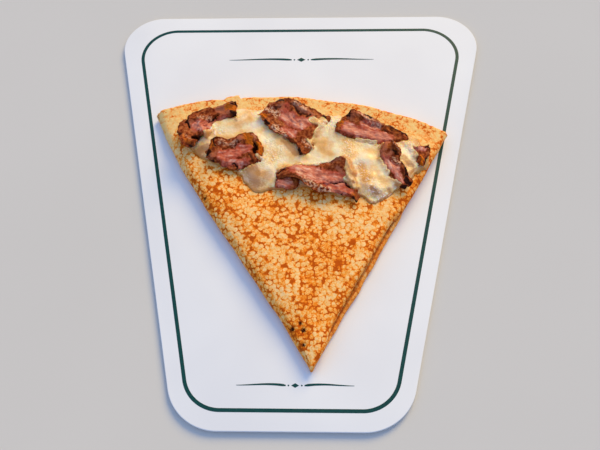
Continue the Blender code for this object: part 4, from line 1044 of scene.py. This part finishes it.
cheese = dict(
    start=(-69.0, 36.8), end=(78.4, 16.7), bow=7.0,
    toRim=[3.0, 11.0, 15.0, 19.5, 20.0, 24.0, 20.0, 18.0, 21.0, 15.5, 12.5, 14.0, 14.0, 3.5],
    toTip=[3.0, 17.0, 22.0, 24.0, 39.0, 39.0, 36.5, 34.0, 35.5, 37.0, 36.0, 36.5, 24.0, 4.0],
    thickness=2.9, lip=(1.1, 1.8), shoulder=9, columns=330, rows=130,
    swells=[(17, 0.7, 1.0), (7, 0.35, 2.0), (3.0, 0.12, 3.0), (1.4, 0.04, 4.0)],  # size, height, seed
    edgeWander=[(9, 2.2), (3.5, 1.3)], wrinkle=[(2.4, 0.4), (1.2, 0.2)], sink=0.5, film=0.35,
    cling=(2.2, 0.9), underBeef=1.2, leastThickness=0.8, leastFilm=0.35,
    laps=[(-44.7, 41.5, -36.5, 45.1, 1.4, 1), (-53.8, 33.5, -50.6, 38.6, 1.4, 1),
        (-28.7, 9.3, -25.3, 11.4, 1.6, 1), (-22.0, 17.6, -19.6, 16.9, 1.6, 1),
        (-47.5, 12.1, -42.8, 10.7, 1.4, 0.8), (9.6, 43.8, 15.1, 41.6, 2.2, 1.4),
        (16.0, 40.0, 13.0, 33.5, 2.4, 1.2), (11.5, 31.0, 9.6, 28.0, 1.8, 1),
        (6.6, 29.6, 10.2, 24.6, 1.1, 0.8), (15.4, 44.9, 17.8, 43.4, 1.6, 1),
        (36.0, 30.6, 47.3, 28.4, 1.0, 1), (-9.4, 10.0, 2.7, 12.7, 1.4, 1),
        (5.6, 12.7, 13.2, 12.7, 1.1, 0.8), (32.6, 14.5, 33.4, 3.0, 3.7, 1.3),
        (28.8, 1.7, 35.0, -3.7, 1.4, 1), (48.7, 15.4, 53.6, 7.1, 1.6, 1), (55.7, 1.6, 60.1, -2.4, 1.9, 1),
        (49.5, 24.5, 51.4, 26.6, 1.1, 0.7), (67.6, 23.7, 70.3, 19.5, 1.6, 1)],
    lumps=[(33.0, 15.4, 33.0, 15.4, 3.8, 1.0), (40.0, 17.5, 40.0, 17.5, 3.8, 1.3),
        (42.0, 3.0, 42.0, 0.3, 4.3, 1.3), (51.9, -11.7, 52.9, -13.7, 3.2, 1.4),
        (47.6, -3.7, 49.8, -6.4, 2.7, 1.0), (28.4, 17.5, 28.3, 4.4, 0.9, 1.5),
        (28.3, 4.4, 36.2, -3.0, 1.0, 1.4), (-19.4, 12.1, -19.4, 12.1, 4.3, 1.0),
        (-25.8, -1.0, -24.6, -2.3, 3.2, 1.0), (-15.4, -2.3, -15.4, -2.3, 2.7, 1.0),
        (-51.2, 39.3, -49.9, 37.8, 1.4, 1.0), (66.0, 27.3, 69.6, 28.7, 2.7, 1.0),
        (61.1, 20.9, 63.2, 15.3, 2.7, 0.8), (23.1, 22.5, 31.9, 25.3, 4.3, 0.7),
        (13.0, 41.2, 13.0, 41.2, 2.2, 1.0), (44.0, -9.1, 46.3, -10.4, 1.2, -2.0),
        (-4.5, -3.0, -3.3, -3.0, 1.6, -1.0)],
    wrinkles=[(-17.6, 15.5, -14.0, 18.5, 5.0, 1), (31.8, 36.0, 32.0, 20.0, 4.0, 0.8),
        (46.0, -5.0, 55.0, -12.0, 5.0, 1), (63.0, 30.0, 71.0, 25.0, 4.0, 1),
        (-50.0, 38.0, -46.0, 36.0, 3.0, 1), (36.0, 12.0, 42.0, 2.0, 3.5, 0.8),
        (-16.4, 29.0, -8.0, 24.0, 2.2, 0.8), (-30.0, 53.0, -22.0, 51.0, 3.0, 0.7),
        (17.0, 42.5, 24.0, 40.0, 3.0, 0.8)],
    filmsAndShade=[(-25.9, 8.5, -22.7, 0.9, 3.6, 0.85), (-19.3, 2.3, -15.9, 6.4, 3.2, 0.6),
        (-34.8, 9.2, -28.7, 5.0, 2.4, 0.5), (-61.0, 27.6, -54.5, 21.9, 2.6, 0.5),
        (45.4, -5.9, 52.1, -9.3, 2.6, 0.5), (56.0, 3.5, 60.1, 6.3, 2.2, 0.45),
        (20.2, 13.2, 23.7, 4.9, 2.0, 0.4), (65.6, 11.8, 70.6, 18.7, 2.0, 0.4),
        (-58.9, 22.0, -53.2, 25.5, 2.2, 1), (-27.0, 11.4, -25.1, 7.2, 1.9, 1),
        (-7.1, 30.4, 2.0, 22.5, 2.2, 0.8), (0.2, 23.9, 2.0, 20.4, 1.4, 1),
        (38.3, -9.7, 41.7, -11.7, 1.6, 0.8), (-9.6, -3.7, -6.1, -5.0, 1.6, 0.6),
        (-47.0, 12.1, -42.8, 10.7, 1.6, 0.7), (58.0, 1.6, 60.1, -2.4, 1.6, 0.6),
        (-37.1, 44.4, -31.3, 50.3, 1.6, 0.3), (-24.4, 12.6, -21.8, 6.4, 1.8, 1),
        (44.3, -3.2, 47.1, -7.3, 1.4, 0.9), (54.0, -3.9, 55.6, -7.9, 1.2, 0.8),
        (63.5, 17.3, 67.4, 12.4, 1.8, 0.9), (72.4, 31.5, 73.9, 26.5, 1.6, 0.6),
        (-5.4, 27.4, 0.1, 20.3, 1.6, 0.9)],
    golden=[(24.9, 35.3, 33.2, 28.1, 2.7, 0.4), (38.7, 11.2, 40.9, 1.7, 2.2, 1),
        (-36.2, 40.7, -28.1, 45.8, 2.7, 0.5), (60.7, 11.9, 62.8, 7.1, 2.2, 0.9),
        (15.5, 23.9, 20.2, 27.4, 2.7, 0.5), (70.9, 7.1, 73.4, 11.2, 1.6, 0.8),
        (-23.1, 1.7, -18.9, -0.3, 2.2, 0.5)])


def makeCheese(crepePiece, slicePieces, material):
    columns, rows = cheese["columns"], cheese["rows"]
    u, v = np.meshgrid(np.linspace(0, 1, columns + 1), np.sin(pi / 2 * np.linspace(-1, 1, rows + 1)))
    toRim, toTip = curveValue(cheese["toRim"], u), curveValue(cheese["toTip"], u)
    flat = stripPoint(cheese, toRim, toTip, u, v).reshape(-1, 2)
    solid = np.column_stack([flat, np.zeros(len(flat))])
    length = np.hypot(*(np.array(cheese["end"]) - cheese["start"]))
    toEdge = np.minimum(np.minimum(u, 1 - u) * length,
                        (1 - abs(v)) * np.where(v > 0, toRim, toTip)).ravel()
    for size, wander in cheese["edgeWander"]:
        inward = wander * np.exp(-toEdge / size)
        flat = flat + inward[:, None] * noisePair(solid, size, 21.0)
    ground = heightsUnder(surfaceTree([crepePiece]), flat, crepeBase + crepe["rimThickness"])
    thick = cheese["thickness"] * np.ones(len(flat))
    for size, height, seed in cheese["swells"]:
        thick += height * noiseAt(solid, size, seed)
    wrinkled = capsules(flat, cheese["wrinkles"])
    for size, height in cheese["wrinkle"]:
        thick += height * wrinkled * noiseAt(solid, size, 8.0)
    thick = np.maximum(thick + capsules(flat, cheese["lumps"], True), cheese["leastThickness"])
    lipHeight, lipWidth = cheese["lip"]
    thick = lipHeight + (thick - lipHeight) * smoothStep(toEdge / cheese["shoulder"])
    grown = np.sqrt(np.clip(1 - (1 - np.clip(toEdge / lipWidth, 0, 1)) ** 2, 0, 1))
    height = ground + thick * grown - 0.1 * (1 - grown)

    # under the slices it keeps below them, beside them it clings and in places it laps over
    beefTree = surfaceTree(slicePieces)
    beefTop = heightsUnder(beefTree, flat, -1.0)
    covered = beefTop > 0
    cling, clingRise = cheese["cling"]
    near = np.array([beefTree.find_nearest(Vector((x * mm, y * mm, (z + 5) * mm)))[0]
                     for (x, y), z in zip(flat, height)]) / mm
    away = np.hypot(near[:, 0] - flat[:, 0], near[:, 1] - flat[:, 1])
    lap = smoothStep(1.7 * capsules(flat, cheese["laps"]) + 0.8 * noiseAt(solid, 2.4, 6.0) - 0.35)
    height += clingRise * np.exp(-away / cling) * grown
    height += lap * np.exp(-(away / cling) ** 2) * np.maximum(near[:, 2] + 0.2 - height, 0)
    lumps = capsules(flat, cheese["lumps"], True).clip(0, 2)
    film = cheese["film"] + 0.4 * noiseAt(solid, 2.6, 5.0) + 0.5 * lumps
    hidden = np.minimum(height, beefTop - cheese["underBeef"])
    lapped = np.maximum(height, beefTop + np.maximum(film, cheese["leastFilm"]))
    height = np.where(covered, hidden + (lapped - hidden) * lap, height)
    top = np.column_stack([flat, height])
    under = np.column_stack([flat, ground - cheese["sink"]])
    lip = lipRing(columns, rows, top, under, 0.0)
    border = [j * (columns + 1) + i for i, j in gridBorder(columns, rows)]
    attributes = {}
    # the film colour's mask: thin cheese over the beef, and some painted shade beside and under the
    # slices
    thin = np.maximum(capsules(flat, cheese["filmsAndShade"]), np.where(covered, 0.35 * lap, 0.0))
    for key, values in (("film", thin), ("golden", capsules(flat, cheese["golden"])), ("toEdge", toEdge),
                        ("wrinkled", wrinkled)):
        attributes[key] = np.concatenate([values, values, values[border]])
    faces = closeSheet(columns, rows, len(lip), len(top))
    piece = addMesh("meltedCheese", np.concatenate([top, under, lip]), faces, material, attributes)
    # painted shade: how steeply the sheet slopes, for its darker colour
    storeValues(piece, "steep", np.clip(2.4 * (1 - vertexNormals(piece)[:, 2]), 0, 1))
    return piece


def cheeseMaterial():
    # Melted cheese, cooled a little: a smooth, fatty, translucent mass. Light goes in some
    # millimetres and comes back warm, and the oil on it gives small bright lights.
    look = dict(cream="#F9D8A4", yellow="#F3C27C", pale="#FCE4C0", paintedGlint="#FFF6E8", gold="#D89438",
                deep="#DAA058", film="#A8682E", thin="#D28C42", size=9 * mm, curd=1.1 * mm,
                roughness=(0.1, 0.26), bump=(0.2, 1.0))
    material = newMaterial("meltedCheese")
    place = addNode(material, "ShaderNodeTexCoord").outputs["Object"]
    film, golden, toEdge, wrinkled, steep = (
        addNode(material, "ShaderNodeAttribute", {"attribute_name": key}).outputs["Fac"]
        for key in ("film", "golden", "toEdge", "wrinkled", "steep"))
    edge = addNode(material, "ShaderNodeMapRange", {"From Min": 2.6, "From Max": 0.2}, {"Value": toEdge})
    pools = addNode(material, "ShaderNodeTexNoise", {"Scale": 1 / look["size"], "Detail": 4.0},
                    {"Vector": place})
    colour = addNode(material, "ShaderNodeValToRGB",
                     {"stops": [(0.32, look["pale"]), (0.46, look["cream"]), (0.58, look["yellow"]),
                                (0.74, look["deep"])]}, {"Fac": pools})
    curd = addNode(material, "ShaderNodeTexNoise", {"Scale": 1 / look["curd"], "Detail": 3.0},
                   {"Vector": place})
    ripple = addNode(material, "ShaderNodeMapRange",
                     {"To Min": look["bump"][0], "To Max": look["bump"][1]}, {"Value": wrinkled})

    def spread(under, code, zone, most):
        # Lays a colour over a zone whose border the curd noise makes ragged.
        doubt = addNode(material, "ShaderNodeMath", {"operation": "MULTIPLY_ADD", 1: 0.7},
                        {0: curd, 2: zone})
        return layColour(material, under, code, doubt, 0.5, 1.1, most)

    colour = spread(colour, look["gold"], golden, 0.65)
    # thin brown films, some of them painted shade beside and under the slices
    colour = spread(colour, look["film"], film, 0.72)
    # painted shade: the sloping sides take the darker, warmer thin colour, and so does the edge, which is
    # partly thin cheese and partly painted shade
    colour = spread(colour, look["thin"], steep, 0.85)
    colour = spread(colour, look["thin"], edge, 0.75)
    # painted highlights: whiter specks where the cheese is wrinkled stand for small bright lights
    glintSpots = addNode(material, "ShaderNodeMapRange", {"From Min": 0.53, "From Max": 0.68, "To Max": 0.8},
                     {"Value": curd})
    paintedGlints = addNode(material, "ShaderNodeMath", {"operation": "MULTIPLY"}, {0: glintSpots, 1: wrinkled})
    colour = layColour(material, colour, look["paintedGlint"], paintedGlints)
    gloss = addNode(material, "ShaderNodeMapRange",
                    {"To Min": look["roughness"][0], "To Max": look["roughness"][1]}, {"Value": curd})
    bump = addNode(material, "ShaderNodeBump", {"Distance": 0.8 * mm},
                   {"Strength": ripple, "Height": curd})
    return finishMaterial(
        material, {"IOR": 1.45, "Specular IOR Level": 0.22, "Subsurface Weight": 0.8,
                   "Subsurface Radius": (1.0, 0.52, 0.22), "Subsurface Scale": 3.4 * mm,
                   "Coat Weight": 0.1, "Coat Roughness": 0.08},
        {"Base Color": colour, "Roughness": gloss, "Normal": bump})


# Floor, light and camera

studio = dict(
    floorHalf=2.0, floorColours=("#CBC7C0", "#CECAC3"),  # half its side, in metres
    toSun=(0.45, 0.89), sunHeight=35, sunSoftness=33, sunPower=2.95, sunColour="#FFE08C",
    skyColour="#B1CDFF", skyPower=(0.48, 0.6))  # at the horizon, and what the zenith has more

view = dict(place=(0.0197, -0.2509, 0.4205), right=(0.9994, 0.0178, -0.0305),
            up=(-0.0008, 0.8747, 0.4846), forward=(-0.0353, 0.4843, -0.8742), width=40)


def makeFloor():
    material = newMaterial("paintedFloor")
    place = addNode(material, "ShaderNodeTexCoord").outputs["Object"]
    first, second = studio["floorColours"]
    cloud = addNode(material, "ShaderNodeTexNoise", {"Scale": 6.0, "Detail": 2.0}, {"Vector": place})
    colour = addNode(material, "ShaderNodeValToRGB", {"stops": [(0.3, first), (0.7, second)]},
                     {"Fac": cloud})
    finishMaterial(material, {"Roughness": 0.9}, {"Base Color": colour})
    h = studio["floorHalf"] / mm
    floor = addMesh("floor", [(-h, -h, 0), (h, -h, 0), (h, h, 0), (-h, h, 0)], [(0, 1, 2, 3)], material,
                    closed=False)


def makeLights():
    sun = bpy.data.lights.new("softKey", "SUN")
    sun.energy = studio["sunPower"]
    sun.color = hexToLinear(studio["sunColour"])[:3]
    sun.angle = radians(studio["sunSoftness"])
    lamp = bpy.data.objects.new("softKey", sun)
    x, y = studio["toSun"]
    toSun = Vector((x, y, np.hypot(x, y) * np.tan(radians(studio["sunHeight"]))))
    lamp.rotation_euler = toSun.to_track_quat("Z", "Y").to_euler()
    bpy.context.scene.collection.objects.link(lamp)
    world = bpy.data.worlds.new("paleSky")
    world.use_nodes = True
    background = world.node_tree.nodes["Background"]
    background.inputs["Color"].default_value = hexToLinear(studio["skyColour"])
    low, gain = studio["skyPower"]
    way = addNode(world, "ShaderNodeTexCoord").outputs["Generated"]
    up = addNode(world, "ShaderNodeSeparateXYZ", links={0: way}).outputs["Z"]
    power = addNode(world, "ShaderNodeMapRange", {"To Min": low, "To Max": low + gain}, {"Value": up})
    world.node_tree.links.new(power.outputs["Result"], background.inputs["Strength"])
    bpy.context.scene.world = world


def makeCamera():
    data = bpy.data.cameras.new("camera")
    data.sensor_fit = "HORIZONTAL"
    data.angle = radians(view["width"])
    camera = bpy.data.objects.new("camera", data)
    turn = Matrix((view["right"], view["up"], [-c for c in view["forward"]])).transposed().to_4x4()
    turn.translation = view["place"]
    camera.matrix_world = turn
    bpy.context.scene.collection.objects.link(camera)
    bpy.context.scene.camera = camera


def dress(piece, slot, *nodes):
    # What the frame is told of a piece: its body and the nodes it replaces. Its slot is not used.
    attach(piece, "root")
    if nodes:
        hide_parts(*nodes)


makeCamera()
makeLights()
makeFloor()
bpy.context.scene.view_settings.view_transform = "Standard"
print("stage: camera, light and floor")

dress(makeBoard(melamineMaterial()), "plate_melamine", "plate")
ink = inkMaterial()
dress(makeBorder(ink), "plate_melamine")
for number, divider in enumerate(dividers):
    dress(makeDivider(f"printedDivider{number + 1}", divider, ink), "plate_melamine")
print("stage: board and print")

crepePiece = makeCrepe(batterMaterial())
dress(crepePiece, "crepe_batter", "crepe")
print("stage: crepe", len(crepePiece.data.vertices), "points")

roast = beefMaterial()
crepeTree = surfaceTree([crepePiece])
slicePieces = []
for number, (name, shape) in enumerate(slices.items()):
    slicePieces.append(makeSlice(name, shape, number + 1, crepeTree, roast))
    dress(slicePieces[-1], "beef", shape["node"])
print("stage: beef")

dress(makeCheese(crepePiece, slicePieces, cheeseMaterial()), "cheese", "melted_cheese")
print("stage: cheese")
